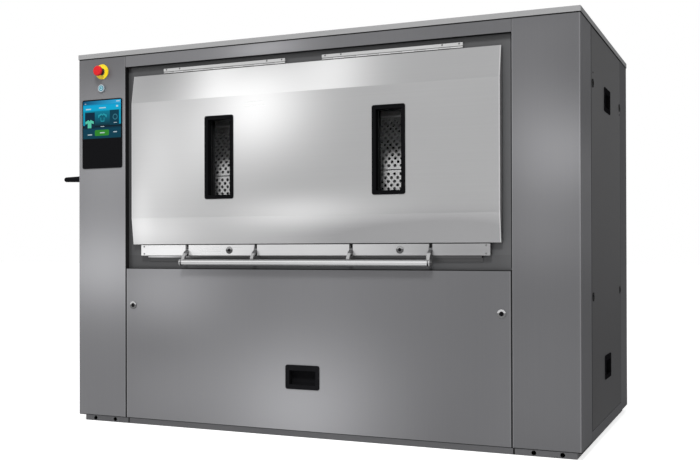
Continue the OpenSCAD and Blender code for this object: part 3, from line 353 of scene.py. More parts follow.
upright_grain = (420.0, 420.0, 3.0)
level_grain = (3.0, 420.0, 420.0)
grey_steel = ((0.115, 0.115, 0.120), (0.42, 0.42, 0.435), 0.5, 0.40, upright_grain)
# Painted shadow lines under the lid's edge and just above the plinth.
shadow_under_lid = {"Z": (1.4490, 1.4530)}
shadow_at_foot = {"Z": (0.0200, 0.0275)}
# The side faces, where steps paint light and shade.
right_side = {"X": (0.9985, 1.01)}
left_side = {"X": (-1.01, -0.9985)}
far = 9.0
# Each column: its level, soft painted highlights and shade, steps of painted light (bright lines
# along its folds and edges, painted light and shade on its side faces), and places of painted
# shadow (the left column's inner return).
column_looks = (
    ("front_left_column", 0.19, (
        (-0.88, 0.62, 0.30, 0.17, 0.61), (-0.86, 1.05, 0.30, 0.30, 0.33),
        (-0.88, 1.43, 0.30, 0.13, -0.15),
    ), (
        (0.08, {"X": (-0.7800, -0.7768)}),
    ), (
        {"X": (-0.7756, -0.7), "Z": (0.02, 1.41)},
    )),
    ("front_right_column", 0.03, (
        (0.97, 1.00, 0.16, 0.16, 0.37), (0.82, 1.05, 0.14, 0.28, 0.23),
        (0.90, 0.72, 0.20, 0.12, 0.10), (0.90, 1.42, 0.30, 0.10, 0.05),
    ), (
        (0.22, right_side, 1.0, 1.15, far, 0.55),
        (-0.34, right_side, 1.0, 1.05, far, 0.18),
        (0.16, {"X": (0.9955, 0.9985)}),
        (0.18, {"X": (0.7700, 0.7770)}),
    ), ()),
    ("rear_columns", 0.2, (), ((-0.20, right_side), (-0.20, left_side)), ()),
)
for node, level, painted_spots, steps, painted_shade in column_looks:
    column = dressed(node, node + "_folded", 0.0016)
    column.data.materials.append(
        steel(
            node + "_satin_steel", *grey_steel, level, painted_spots, 0.05, 0.3, steps,
            (shadow_under_lid, shadow_at_foot, *painted_shade),
        )
    )
    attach(column, "cabinet")
    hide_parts(node)


# Lintels and lower panels. The lintel over each door lies flush with the columns, and the
# lower panel is a tray of the same sheet, held by two quarter-turn locks.

# Painted light in the panel sheet: soft painted highlights and shade, a bright painted line beside
# each side seam of the lower panels, and painted shadow under the lid, under the lintels, along
# the lower panels' tops, in their side seams and at the foot.
panel_finish = steel(
    "satin panel steel", *grey_steel, 0.16, (
        (-0.60, 0.55, 0.26, 0.16, 0.37), (-0.02, 0.10, 0.30, 0.26, 0.48),
        (-0.55, 0.15, 0.30, 0.20, 0.10), (0.66, 0.30, 0.34, 0.50, -0.11),
        (-0.60, 0.33, 0.20, 0.10, -0.06), (0.0, 0.56, 0.30, 0.08, 0.04),
        (-0.60, 1.43, 0.30, 0.10, 0.07), (0.60, 1.43, 0.35, 0.10, -0.09),
        (-0.16, 1.43, 0.17, 0.05, 0.46),
    ), 0.06, 0.3, (
        (0.10, {"X": (-0.7690, -0.7650), "Z": (0.0, 0.7)}),
        (0.10, {"X": (0.7655, 0.7690), "Z": (0.0, 0.7)}),
    ), (
        shadow_under_lid,
        shadow_at_foot,
        {"Z": (1.4050, 1.4066)},
        {"Z": (0.6112, 0.62)},
        {"X": (0.7690, 0.78), "Z": (0.0, 0.7)},
        {"X": (-0.78, -0.7690), "Z": (0.0, 0.7)},
    ),
)
for node in ("lintels", "front_lower_panel", "rear_lower_panel"):
    panel = dressed(node, node + "_folded", 0.0016)
    panel.data.materials.append(panel_finish)
    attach(panel, "cabinet")
    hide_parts(node)


# Side hatches. One tall tray closes each side between the columns, in the same sheet; its
# darker tone is painted shade, lighter towards the top and darker towards the foot, with
# painted shadow along its edges and under the lid.

hatch_finish = steel(
    "satin side steel in painted shade", (0.07, 0.07, 0.072), (0.16, 0.16, 0.163), 0.5, 0.42, upright_grain,
    0.60, ((1.0, 1.30, far, 0.50, 0.30), (1.0, 0.22, far, 0.38, -0.42)), 0.08, 0.3, (), (
        {"Y": (-0.3400, -0.3340)},
        {"Y": (0.3530, 0.3600)},
        {"Z": (1.4480, 1.46)},
    ),
)
hatches = dressed("side_hatches", "side_hatches_folded", 0.0016)
hatches.data.materials.append(hatch_finish)
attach(hatches, "cabinet")
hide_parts("side_hatches")


# Top cover. One lid of bright brushed steel with its edges turned down over the cabinet.

# Painted highlight: a band along the front and rear faces; the skirt's lower edge is painted dark
# as shadow.
lid_finish = steel(
    "bright lid steel", (0.24, 0.24, 0.245), (1.0, 1.0, 1.0), 0.6, 0.34, level_grain,
    0.145, (), 0.03, 0.3, (
        (0.66, {"Y": (-0.57, -0.555)}, -0.18, 1.46, 0.15, far),
        (0.66, {"Y": (0.555, 0.57)}, 0.18, 1.46, 0.15, far),
    ), ({"Z": (1.40, 1.4532)},),
)
lid = dressed("top_cover", "top_cover_folded", 0.0016)
lid.data.materials.append(lid_finish)
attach(lid, "cabinet")
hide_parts("top_cover")


# Surrounds. Deep set plates round each door opening in darker satin sheet, with a collar
# that takes the bellows.

# Painted highlight along its right edge and a faint one low down, painted shade across the strip
# behind the latch rail, and painted shadow beside the right column.
surround_finish = steel(
    "dark surround steel", (0.012, 0.012, 0.0125), (0.15, 0.151, 0.155), 0.4, 0.42, upright_grain,
    0.60, ((0.79, 1.0, 0.05, 0.5, 0.28), (0.6, 0.63, 0.4, 0.06, 0.04)), 0.08, 0.3,
    ((-0.07, {"Z": (0.60, 0.665)}),), ({"X": (0.7660, 0.7745), "Z": (0.62, 1.41)},),
)
for node in ("front_surround", "rear_surround"):
    surround = dressed(node, node + "_clean")
    surround.data.materials.append(surround_finish)
    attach(surround, "cabinet")
    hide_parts(node)


# Base. A welded grid of tubes on the floor, and the posts and rails that carry the cabinet,
# in paint with a faint orange peel. Low plates of satin sheet close the base all round.


def painted(name, shade, roughness, peel=260.0):
    """Stoved paint with slight unevenness in tone and a fine orange peel."""
    finish, shader, place = new_finish(name)
    uneven = noise(place, 3.0, detail=3.0)
    skin = noise(place, peel, detail=1.0)
    light = tuple(min(1.0, channel * 1.18 + 0.004) for channel in shade)
    dark = tuple(channel * 0.82 for channel in shade)
    feed(
        shader,
        Base_Color=blend(uneven, dark, light),
        Roughness=roughness + (uneven - 0.5) * 0.15,
        Normal=skin.node(
            "ShaderNodeBump", {"Height": skin, "Strength": 0.1, "Distance": 0.0003}
        ),
    )
    return finish


def finish_nodes(finish, *nodes):
    """Gives CAD parts that stay as they are their finish."""
    for node in nodes:
        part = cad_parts[node]
        if not part.data.materials:
            part.data.materials.append(finish)
        for place in part.material_slots:
            place.material = finish


base_paint = painted("dark frame paint", (0.055, 0.056, 0.06), 0.5)
post_paint = painted("grey post paint", (0.25, 0.255, 0.265), 0.5)
finish_nodes(base_paint, "base_frame", "tub_cradle", "damper_tubes")
finish_nodes(post_paint, "upright_frame")
# The plinth's sides are painted darker as shade, and the gaps between its plates are painted as
# shadow.
kick = dressed("kick_plates", "kick_plates_folded", 0.0015)
kick.data.materials.append(
    steel(
        "plinth_satin_steel", *grey_steel, 0.10, (), 0.1, 0.3,
        ((-0.30, right_side), (-0.30, left_side)),
        ({"X": (0.7705, 0.7765)}, {"X": (-0.7765, -0.7705)}),
    )
)
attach(kick, "cabinet")
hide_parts("kick_plates")


# Door covers. Each is one wide sheet of bright brushed stainless, bent back in a slope
# along its top and bottom and closed at its sides, with two cut-outs for the windows.

upper_bend_z, lower_bend_z = 1.2590, 0.8085
# Painted highlights and painted shade on the door's face: a broad highlight high on the left with
# softer ones round it, and a darker lower right.
door_painted_spots = (
    (-0.18, 1.22, 0.22, 0.18, 0.66),
    (-0.43, 1.05, 0.10, 0.20, 0.16),
    (-0.25, 1.06, 0.12, 0.22, 0.07),
    (-0.62, 1.00, 0.14, 0.30, 0.30),
    (-0.02, 0.82, 0.26, 0.06, 0.33),
    (-0.70, 0.82, 0.06, 0.14, 0.22),
    (-0.66, 0.755, 0.20, 0.06, 0.12),
    (0.50, 0.74, 0.40, 0.06, -0.24),
)
upper_slope = {"Z": (upper_bend_z, 1.40)}
lower_slope = {"Z": (0.60, lower_bend_z)}
# Steps of painted light: the upper slope lighter at its left and middle and darker at its ends,
# the lower slope a little darker, and a painted highlight along each side edge.
door_painted_steps = (
    (0.26, upper_slope, -0.37, 1.32, 0.11, far),
    (0.38, upper_slope, 0.13, 1.32, 0.15, far),
    (-0.12, upper_slope, -0.64, 1.32, 0.12, far),
    (-0.04, upper_slope, 0.55, 1.32, 0.30, far),
    (-0.08, lower_slope, 0.12, 0.75, 0.22, far),
    (0.18, {"X": (0.7335, 0.75)}),
    (0.06, {"X": (-0.75, -0.7335)}),
)
door_finish = steel(
    "bright door steel", (0.26, 0.26, 0.264), (1.0, 1.0, 1.0), 0.62, 0.30, level_grain,
    0.16, door_painted_spots, 0.05, 0.3, door_painted_steps,
)
for node, body in (("front_door_cover", "front_door"), ("rear_door_cover", "rear_door")):
    cover = dressed(node, node + "_folded", 0.0014, least_turn=5.0)
    cover.data.materials.append(door_finish)
    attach(cover, body)
    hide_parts(node)


# Latch rails, keepers and liners. Five box lengths of bright steel along the foot of each
# door, with slots for the handle's arms, close over an angle that is fixed to the cabinet.
# The rear rail is one piece with the rear door's liner.

# Painted highlight at the left of the rail and painted shade at its right.
rail_finish = steel(
    "bright rail steel", (0.28, 0.28, 0.284), (0.95, 0.95, 0.955), 0.6, 0.28, level_grain,
    0.45, ((-0.6, 0.68, 0.30, 0.1, 0.34), (0.62, 0.68, 0.35, 0.1, -0.43)), 0.08,
)
# A painted highlight along the keepers' upper part towards the left.
keeper_finish = steel(
    "keeper steel", (0.05, 0.05, 0.051), (0.62, 0.62, 0.63), 0.5, 0.35, level_grain,
    0.08, (), 0.05, 0.1, ((0.85, {"Z": (0.6556, 0.67)}, -0.61, 0.66, 0.11, far),),
)
# Painted light on the liner: the upper part of the hinge knuckles lighter as painted highlight, a
# painted shadow line along their lower part, and painted shade where the liner shows through the
# windows and behind the rail.
liner_finish = steel(
    "plain liner steel", (0.28, 0.28, 0.285), (0.80, 0.80, 0.80), 0.6, 0.4, level_grain,
    0.20, (), 0.08, 0.3, ((0.45, {"Z": (1.3710, 1.40)}),), (
        {"Z": (1.3672, 1.3710)},
        {"X": (-0.4050, -0.2850), "Z": (0.8850, 1.1820)},
        {"X": (0.2850, 0.4050), "Z": (0.8850, 1.1820)},
        {"Y": (-0.5350, -0.5150), "Z": (0.6500, 0.7160)},
        {"Y": (0.5150, 0.5350), "Z": (0.6500, 0.7160)},
    ),
)
# The bezels are painted dark as shade, with a painted highlight across their upper part.
bezel_finish = steel(
    "bezel steel in painted shade", (0.05, 0.05, 0.051), (0.70, 0.70, 0.705), 0.7, 0.25, level_grain,
    0.06, (), 0.1, 0.1, ((0.35, {"Z": (0.6860, 0.7000)}),),
)
rail = dressed("front_latch_rail", "front_latch_rail_folded")
rail.data.materials.append(rail_finish)
rail.data.materials.append(bezel_finish)
for face in rail.data.polygons:
    face.material_index = int(face.center.y < -0.5442)
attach(rail, "front_door")
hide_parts("front_latch_rail")
keepers = dressed("door_keepers", "door_keepers_folded", 0.0010, sheet=0.001)
keepers.data.materials.append(keeper_finish)
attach(keepers, "cabinet")
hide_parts("door_keepers")
finish_nodes(liner_finish, "front_door_liner", "rear_door_liner")


# Door handles. A round bar of polished stainless in front of the latch rail, on four bent
# flat arms, with a disc on each end.

# Painted highlight in a band along the bar's upper part, and painted shade below it and on the
# arms above it.
bar_finish = steel(
    "polished bar steel", (0.18, 0.18, 0.183), (0.85, 0.85, 0.855), 0.7, 0.25, level_grain,
    0.35, (), 0.1, 0.2, (
        (0.50, {"Z": (0.6390, 0.6430)}),
        (-0.30, {"Z": (0.60, 0.6320)}),
        (-0.35, {"Z": (0.6720, 0.73)}),
    ),
)
for node, body in (("front_door_handle", "front_handle"), ("rear_door_handle", "rear_handle")):
    handle = dressed(node, node + "_polished")
    handle.data.materials.append(bar_finish)
    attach(handle, body)
    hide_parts(node)


# Hinge strips. Two lengths of bright aluminium angle over each door, with the knuckles of
# the door's long hinge below them.

# A painted shadow line along the lower edge, above the door's top.
aluminium = steel(
    "bright hinge aluminium", (0.36, 0.36, 0.36), (0.62, 0.62, 0.62), 0.5, 0.32, level_grain,
    painted_shade=({"Z": (1.3672, 1.3710)},),
)
strips = dressed("hinge_strips", "hinge_strips_folded", 0.0008, sheet=0.002)
strips.data.materials.append(aluminium)
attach(strips, "cabinet")
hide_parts("hinge_strips")


# Small screws. Button heads with a round socket, along the hinge strips, at the ends of
# the latch rails and beside the upper locks of the hatches.

screw_tree = bpy.data.node_groups.new("button heads", "GeometryNodeTree")
screw_inputs = (
    ("Geometry", "NodeSocketGeometry"),
    ("Screw", "NodeSocketObject"),
    ("Turn", "NodeSocketRotation"),
    ("Finish", "NodeSocketMaterial"),
)


def group_sockets(tree, inputs):
    """Declares a geometry tree's named inputs and its one output; returns their wires."""
    for name, kind in inputs:
        tree.interface.new_socket(name, in_out="INPUT", socket_type=kind)
    tree.interface.new_socket("Geometry", in_out="OUTPUT", socket_type="NodeSocketGeometry")
    entry = tree.nodes.new("NodeGroupInput")
    return {name: Wire(tree, entry.outputs[name]) for name, kind in inputs}


def set_input(modifier, name, value):
    """Sets a named input of a Geometry Nodes modifier by its socket's identifier."""
    for item in modifier.node_group.interface.items_tree:
        if item.item_type == "SOCKET" and item.in_out == "INPUT" and item.name == name:
            modifier[item.identifier] = value


given = group_sockets(screw_tree, screw_inputs)
heads = given["Geometry"].node("GeometryNodeObjectInfo", {"Object": given["Screw"]}, "Geometry")
heads = heads.node(
    "GeometryNodeInstanceOnPoints",
    {"Points": given["Geometry"], "Instance": heads, "Rotation": given["Turn"]},
)
heads = heads.node("GeometryNodeRealizeInstances", {"Geometry": heads})
heads = heads.node("GeometryNodeSetMaterial", {"Geometry": heads, "Material": given["Finish"]})
screw_exit = screw_tree.nodes.new("NodeGroupOutput")
screw_tree.links.new(heads.socket, screw_exit.inputs["Geometry"])

head_r = 0.0032
head_h = 0.0012
socket_r = 0.0013
around_head = 20


def turned_head(name, outline, sides):
    """A solid of revolution round +Z from (radius, height) pairs, closed on the axis."""
    mesh = bmesh.new()
    rings = []
    for radius, height in outline:
        if radius < 1e-9:
            rings.append([mesh.verts.new((0.0, 0.0, height))])
            continue
        turns = (2 * math.pi * k / sides for k in range(sides))
        rings.append(
            [mesh.verts.new((radius * math.cos(a), radius * math.sin(a), height)) for a in turns]
        )
    for low, high in zip(rings, rings[1:]):
        for k in range(sides):
            a, b = low[k % len(low)], low[(k + 1) % sides % len(low)]
            c, d = high[(k + 1) % sides % len(high)], high[k % len(high)]
            corners = list(dict.fromkeys((a, b, c, d)))
            mesh.faces.new(corners)
    bmesh.ops.recalc_face_normals(mesh, faces=mesh.faces[:])
    result = bpy.data.meshes.new(name)
    mesh.to_mesh(result)
    mesh.free()
    piece = bpy.data.objects.new(name, result)
    scene.collection.objects.link(piece)
    return piece


screw_outline = (
    (0.0, 0.0),
    (head_r, 0.0),
    (head_r, head_h * 0.35),
    (head_r * 0.85, head_h * 0.8),
    (head_r * 0.55, head_h),
    (socket_r, head_h),
    (socket_r, head_h * 0.45),
    (0.0, head_h * 0.45),
)
screw = turned_head("button_head_pattern", screw_outline, around_head)
# The heads on the side hatches are painted near black as shade.
screw_finish = steel(
    "dull screw steel", (0.11, 0.11, 0.11), (0.26, 0.26, 0.26), 0.8, 0.35, level_grain,
    painted_shade=({"X": (0.99, 1.02)}, {"X": (-1.02, -0.99)}),
)
toward_front = (math.pi / 2, 0.0, 0.0)
toward_rear = (-math.pi / 2, 0.0, 0.0)
toward_right = (0.0, math.pi / 2, 0.0)
toward_left = (0.0, -math.pi / 2, 0.0)

strip_face_y = -0.532
strip_screw_z = 1.3845
strip_screws = [s * x for s in (-1, 1) for x in (0.088, 0.150, 0.530, 0.590)]
rail_face_y = -0.544
rail_screws = [(s * 0.686, z) for s in (-1, 1) for z in (0.6975, 0.6700)]
hatch_face_x = 1.0
screw_sets = (
    ("strip_screws_front", "cabinet", toward_front,
     [(x, strip_face_y, strip_screw_z) for x in strip_screws]),
    ("strip_screws_rear", "cabinet", toward_rear,
     [(x, -strip_face_y, strip_screw_z) for x in strip_screws]),
    ("rail_screws_front", "front_door", toward_front,
     [(x, rail_face_y, z) for x, z in rail_screws]),
    ("rail_screws_rear", "rear_door", toward_rear,
     [(x, -rail_face_y, z) for x, z in rail_screws]),
    ("hatch_screws_right", "cabinet", toward_right,
     [(hatch_face_x, -0.303, 1.294), (hatch_face_x, 0.337, 1.228)]),
    ("hatch_screws_left", "cabinet", toward_left,
     [(-hatch_face_x, -0.303, 1.294), (-hatch_face_x, 0.337, 1.228)]),
)
for name, body, turn, places in screw_sets:
    points = bpy.data.meshes.new(name)
    points.from_pydata(places, [], [])
    screws = bpy.data.objects.new(name, points)
    scene.collection.objects.link(screws)
    repeat = screws.modifiers.new("button heads", "NODES")
    repeat.node_group = screw_tree
    set_input(repeat, "Screw", screw)
    set_input(repeat, "Turn", turn)
    set_input(repeat, "Finish", screw_finish)
    apply_modifiers(screws)
    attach(screws, body)
bpy.data.objects.remove(screw)


# Windows. A black moulded frame with rounded corners stands round each tall window, with
# a clear pane set deep in it; the seal behind the liner is matt black rubber.


def moulded(name, shade, roughness, grain=900.0, relief=0.0002, gloss=0.12):
    """Moulded plastic or rubber with a fine leathery grain."""
    finish, shader, place = new_finish(name)
    shader.inputs["Specular IOR Level"].default_value = gloss
    pebbles = noise(place, grain, detail=2.0)
    cloud = noise(place, 6.0, detail=2.0)
    light = tuple(channel * 1.35 + 0.002 for channel in shade)
    feed(
        shader,
        Base_Color=blend(cloud, shade, light),
        Roughness=roughness + (pebbles - 0.5) * 0.12,
        Normal=pebbles.node(
            "ShaderNodeBump", {"Height": pebbles, "Strength": 0.15, "Distance": relief}
        ),
    )
    return finish


black_plastic = moulded("black moulded plastic", (0.004, 0.004, 0.0045), 0.42, gloss=0.0)
black_rubber = moulded("matt black rubber", (0.014, 0.014, 0.015), 0.75, 400.0)
for node, body in (("front_window_frames", "front_door"), ("rear_door_trim", "rear_door")):
    frames = dressed(node, node + "_rounded", 0.0012, shortest=0.02)
    frames.data.materials.append(black_plastic)
    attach(frames, body)
    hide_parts(node)
finish_nodes(black_rubber, "front_door_seal", "mouth_bellows", "water_hoses")

pane_finish, pane_shader, pane_place = new_finish("clear pane")
smear = noise(pane_place, 14.0, detail=3.0)
pane_shader.inputs["Base Color"].default_value = (0.02, 0.022, 0.022, 1.0)
feed(pane_shader, Alpha=0.04 + smear * 0.03, Roughness=0.02 + smear * 0.06)
finish_nodes(pane_finish, "front_window_panes", "rear_window_panes")


# Drum leaves. Two curved steel leaves close the drum's opening; each is punched all over
# with staggered round holes inside a plain border, and hangs on knuckles along its heel.

drum_r = 0.420
drum_axis_z = 0.92975
leaf_t = 0.0025
leaf_half = 0.558
hole_d = 0.0118
hole_pitch = 0.024
row_pitch = 0.0135
hole_columns = 45
hole_rows = 15
hole_sides = 16
leaf_gap = 0.25
opening_low, opening_middle, opening_high = -24.0, 6.0, 36.0
pin_r = 0.408
pin_turn = math.degrees(0.006 / pin_r)

punch_tree = bpy.data.node_groups.new("punched sheet", "GeometryNodeTree")
punch_inputs = (
    ("Geometry", "NodeSocketGeometry"),
    ("Hole tile", "NodeSocketObject"),
    ("Half tile", "NodeSocketObject"),
    ("Columns", "NodeSocketInt"),
    ("Rows", "NodeSocketInt"),
    ("Pitch", "NodeSocketFloat"),
    ("Row pitch", "NodeSocketFloat"),
    ("Field start", "NodeSocketFloat"),
    ("Radius", "NodeSocketFloat"),
    ("First angle", "NodeSocketFloat"),
    ("Axis height", "NodeSocketFloat"),
    ("Finish", "NodeSocketMaterial"),
)
given = group_sockets(punch_tree, punch_inputs)
columns, rows = given["Columns"], given["Rows"]
pitch, row_step = given["Pitch"], given["Row pitch"]
index = columns.node("GeometryNodeInputIndex")
row_is_odd = (index % rows) % 2.0


def tile_rows(count, width, shift, dropped, tile):
    """Tiles on a grid of count columns; shift moves and dropped removes some of its points."""
    height = (rows - 1.0) * row_step
    sizes = {"Size X": width, "Size Y": height, "Vertices X": count, "Vertices Y": rows}
    grid = rows.node("GeometryNodeMeshGrid", sizes)
    middle = given["Field start"] + (rows * row_step) / 2.0
    offset = grid.node("ShaderNodeCombineXYZ", {"X": shift, "Y": middle})
    grid = grid.node("GeometryNodeDeleteGeometry", {"Geometry": grid, "Selection": dropped})
    grid = grid.node("GeometryNodeSetPosition", {"Geometry": grid, "Offset": offset})
    source = grid.node("GeometryNodeObjectInfo", {"Object": tile}, "Geometry")
    return grid.node("GeometryNodeInstanceOnPoints", {"Points": grid, "Instance": source})


field_w = hole_columns * hole_pitch
leaf_arc = math.radians(opening_middle - opening_low - 2 * leaf_gap) * drum_r
field_start = (leaf_arc - hole_rows * row_pitch) / 2

columns_w = (columns - 1.0) * pitch
full_tiles = tile_rows(
    columns, columns_w, row_is_odd * pitch / 2.0,
    row_is_odd * (index > (columns - 1.0) * rows - 0.5), given["Hole tile"],
)
half_tiles = tile_rows(
    2, columns * pitch - pitch / 2.0, 0.0, 1.0 - row_is_odd, given["Half tile"]
)
parts = [given["Geometry"], full_tiles, half_tiles]
sheet = full_tiles.node("GeometryNodeJoinGeometry", {0: parts})
sheet = sheet.node("GeometryNodeRealizeInstances", {"Geometry": sheet})
sheet = sheet.node("GeometryNodeMergeByDistance", {"Geometry": sheet, "Distance": 1e-5})
spot = sheet.node("GeometryNodeInputPosition")
along = spot.node("ShaderNodeSeparateXYZ", {0: spot}, "X")
arc = spot.node("ShaderNodeSeparateXYZ", {0: spot}, "Y")
angle = given["First angle"] + arc / given["Radius"]
bent = spot.node(
    "ShaderNodeCombineXYZ",
    {
        "X": along,
        "Y": given["Radius"] * angle.math("COSINE", angle) * -1.0,
        "Z": given["Axis height"] + given["Radius"] * angle.math("SINE", angle),
    },
)
sheet = sheet.node("GeometryNodeSetPosition", {"Geometry": sheet, "Position": bent})
sheet = sheet.node("GeometryNodeSetMaterial", {"Geometry": sheet, "Material": given["Finish"]})
punch_exit = punch_tree.nodes.new("NodeGroupOutput")
punch_tree.links.new(sheet.socket, punch_exit.inputs["Geometry"])


def flat_piece(name, corners, faces):
    """A flat mesh in the XY plane."""
    mesh = bpy.data.meshes.new(name)
    mesh.from_pydata([(x, y, 0.0) for x, y in corners], [], faces)
    piece = bpy.data.objects.new(name, mesh)
    scene.collection.objects.link(piece)
    return piece


half_x, half_y = hole_pitch / 2, row_pitch / 2
rim = [(-half_x, -half_y), (0, -half_y), (half_x, -half_y), (half_x, 0)]
rim += [(-x, -y) for x, y in rim]
hole_edge = []
for k in range(hole_sides):
    a = math.radians(225) + 2 * math.pi * k / hole_sides
    hole_edge.append((hole_d / 2 * math.cos(a), hole_d / 2 * math.sin(a)))
ring_faces = [
    (k, (k + 1) % 8, 8 + (2 * k + 2) % hole_sides, 8 + (2 * k + 1) % hole_sides, 8 + 2 * k)
    for k in range(8)
]
hole_tile = flat_piece("hole_tile", rim + hole_edge, ring_faces)
half_rim = ((-1, -1), (1, -1), (1, 0), (1, 1), (-1, 1), (-1, 0))
half_tile = flat_piece(
    "half_tile", [(x * half_x / 2, y * half_y) for x, y in half_rim], [(0, 1, 2, 3, 4, 5)]
)

# Painted light: the leaves are lighter low down and darker high up.
leaf_finish = steel(
    "bright drum steel", (0.55, 0.55, 0.56), (1.0, 1.0, 1.0), 0.25, 0.24, level_grain,
    0.5, ((0.0, 0.90, far, 0.10, 0.5), (0.0, 1.16, far, 0.12, -0.5)),
)


def border(name):
    """The plain border of a leaf, flat, cut across at every row so that it bends with the rest."""
    steps = [0.0] + [field_start + k * row_pitch for k in range(hole_rows + 1)] + [leaf_arc]
    corners, faces = [], []
    for y in steps:
        corners += [(-leaf_half, y), (-field_w / 2, y), (field_w / 2, y), (leaf_half, y)]
    for k in range(len(steps) - 1):
        a, b = 4 * k, 4 * k + 4
        faces += [(a, a + 1, b + 1, b), (a + 2, a + 3, b + 3, b + 2)]
        if k in (0, len(steps) - 2):
            faces.append((a + 1, a + 2, b + 2, b + 1))
    piece = flat_piece(name, corners, faces)
    piece.data.materials.append(leaf_finish)
    return piece


def tube_on_drum(mesh, x0, x1, radius, turn, distance, sides=16):
    """A closed bar along X, at an angle and distance round the drum's axis."""
    a = math.radians(turn)
    middle = Vector((0.0, -distance * math.cos(a), drum_axis_z + distance * math.sin(a)))
    ends = []
    for x in (x0, x1):
        turns = (2 * math.pi * k / sides for k in range(sides))
        ends.append([
            mesh.verts.new(middle + Vector((x, radius * math.cos(b), radius * math.sin(b))))
            for b in turns
        ])
    for k in range(sides):
        mesh.faces.new((ends[0][k], ends[1][k], ends[1][k - 1], ends[0][k - 1]))
    mesh.faces.new(ends[0])
    mesh.faces.new(ends[1][::-1])


knuckle_count = 5
knuckle_len = 0.060
knuckle_r = 0.008
leaves = (
    ("drum_leaf_upper", "leaf_upper", opening_middle + leaf_gap, opening_high - pin_turn),
    ("drum_leaf_lower", "leaf_lower", opening_low + leaf_gap, opening_low + pin_turn),
)
for node, body, first, pin_angle in leaves:
    leaf = border(node + "_punched")
    punch = leaf.modifiers.new("punched sheet", "NODES")
    punch.node_group = punch_tree
    set_input(punch, "Hole tile", hole_tile)
    set_input(punch, "Half tile", half_tile)
    set_input(punch, "Columns", hole_columns)
    set_input(punch, "Rows", hole_rows)
    set_input(punch, "Pitch", hole_pitch)
    set_input(punch, "Row pitch", row_pitch)
    set_input(punch, "Field start", field_start)
    set_input(punch, "Radius", drum_r)
    set_input(punch, "First angle", math.radians(first))
    set_input(punch, "Axis height", drum_axis_z)
    set_input(punch, "Finish", leaf_finish)
    wall = leaf.modifiers.new("wall", "SOLIDIFY")
    wall.thickness = leaf_t
    wall.offset = -1.0
    apply_modifiers(leaf)
    whole = bmesh.new()
    whole.from_mesh(leaf.data)
    step = (2 * leaf_half - 0.140) / (knuckle_count - 1)
    for k in range(knuckle_count):
        x = -leaf_half + 0.040 + k * step
        tube_on_drum(whole, x, x + knuckle_len, knuckle_r, pin_angle, pin_r)
    whole.to_mesh(leaf.data)
    whole.free()
    leaf.data.shade_smooth()
    leaf.data.set_sharp_from_angle(angle=math.radians(40))
    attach(leaf, body)
    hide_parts(node)
bpy.data.objects.remove(hole_tile)
bpy.data.objects.remove(half_tile)


# Drum, tub and drive. The shell is the same punched stainless, its holes painted near black
# in the finish as the shade seen through them, with a plain border beside its opening that
# is painted almost white as a painted highlight. Its end discs and the tub are plain steel;
# the castings, the motor, the springs, the valves and the box are painted.

shell_finish, shell_shader, shell_place = new_finish("punched shell steel")
side = shell_place.node("ShaderNodeSeparateXYZ", {0: shell_place}, "Y")
height = shell_place.node("ShaderNodeSeparateXYZ", {0: shell_place}, "Z") - drum_axis_z
length = shell_place.node("ShaderNodeSeparateXYZ", {0: shell_place}, "X")
row = side.math("ARCTAN2", height, side) * (drum_r / row_pitch)
row_number = row.math("FLOOR", row)
column = length / hole_pitch + (row_number % 2.0) * 0.5
column_part = abs(column % 1.0 - 0.5) * hole_pitch
row_part = abs(row % 1.0 - 0.5) * row_pitch
away = side.math("SQRT", column_part * column_part + row_part * row_part)
radial = side.math("SQRT", side * side + height * height)
turn = side.math("ARCTAN2", height, abs(side))
plain_deg = 5.0
plain_border = (turn > math.radians(opening_high)) * (
    turn < math.radians(opening_high + plain_deg)
)
shell_wall, punched_half = 0.004, 0.63
# The holes are painted near black, as the shade seen through them.
is_hole = (away < hole_d / 2) * (radial > drum_r - shell_wall) * (abs(length) < punched_half)
is_hole = is_hole * (1.0 - plain_border)
shell_tone = noise(shell_place, 4.0, detail=2.0)
steel_tone = blend(shell_tone, (0.45, 0.45, 0.46), (0.70, 0.70, 0.71))
# Painted highlight: the plain border is made almost white.
steel_tone = blend(plain_border, steel_tone, (0.97, 0.97, 0.97))
shell_shader.inputs["Metallic"].default_value = 0.75
feed(
    shell_shader,
    Base_Color=blend(is_hole, steel_tone, (0.01, 0.01, 0.01)),
    Roughness=0.28 + is_hole * 0.5,
)
finish_nodes(shell_finish, "drum_shell")

tub_finish = steel(
    "plain tub steel", (0.30, 0.30, 0.31), (0.46, 0.46, 0.47), 0.6, 0.42, level_grain
)
cast_finish = painted("cast iron paint", (0.13, 0.135, 0.14), 0.55, 500.0)
motor_finish = painted("blue motor paint", (0.035, 0.08, 0.14), 0.45)
spring_finish = painted("black spring lacquer", (0.03, 0.03, 0.032), 0.4)
belt_finish = moulded("belt rubber", (0.012, 0.012, 0.012), 0.7)
rod_finish = steel("ground rod steel", (0.6, 0.6, 0.6), (0.8, 0.8, 0.8), 0.9, 0.2, upright_grain)
valve_finish = painted("valve blue", (0.05, 0.12, 0.20), 0.4)
box_finish = painted("light grey box paint", (0.38, 0.38, 0.37), 0.45)
finish_nodes(tub_finish, "drum_ends", "outer_tub", "tub_ends")
finish_nodes(cast_finish, "bearing_housings", "drum_pulley", "motor_pulley")
finish_nodes(motor_finish, "motor")
finish_nodes(spring_finish, "suspension_springs")
finish_nodes(belt_finish, "drive_belt")
finish_nodes(rod_finish, "damper_rods")
finish_nodes(valve_finish, "drain_valve", "water_fittings")
finish_nodes(box_finish, "electrical_box")


# Locks. Quarter-turn locks with a polished ring round a black core that has a key slot, on
# the lower panels, the hatches and the latch rails.

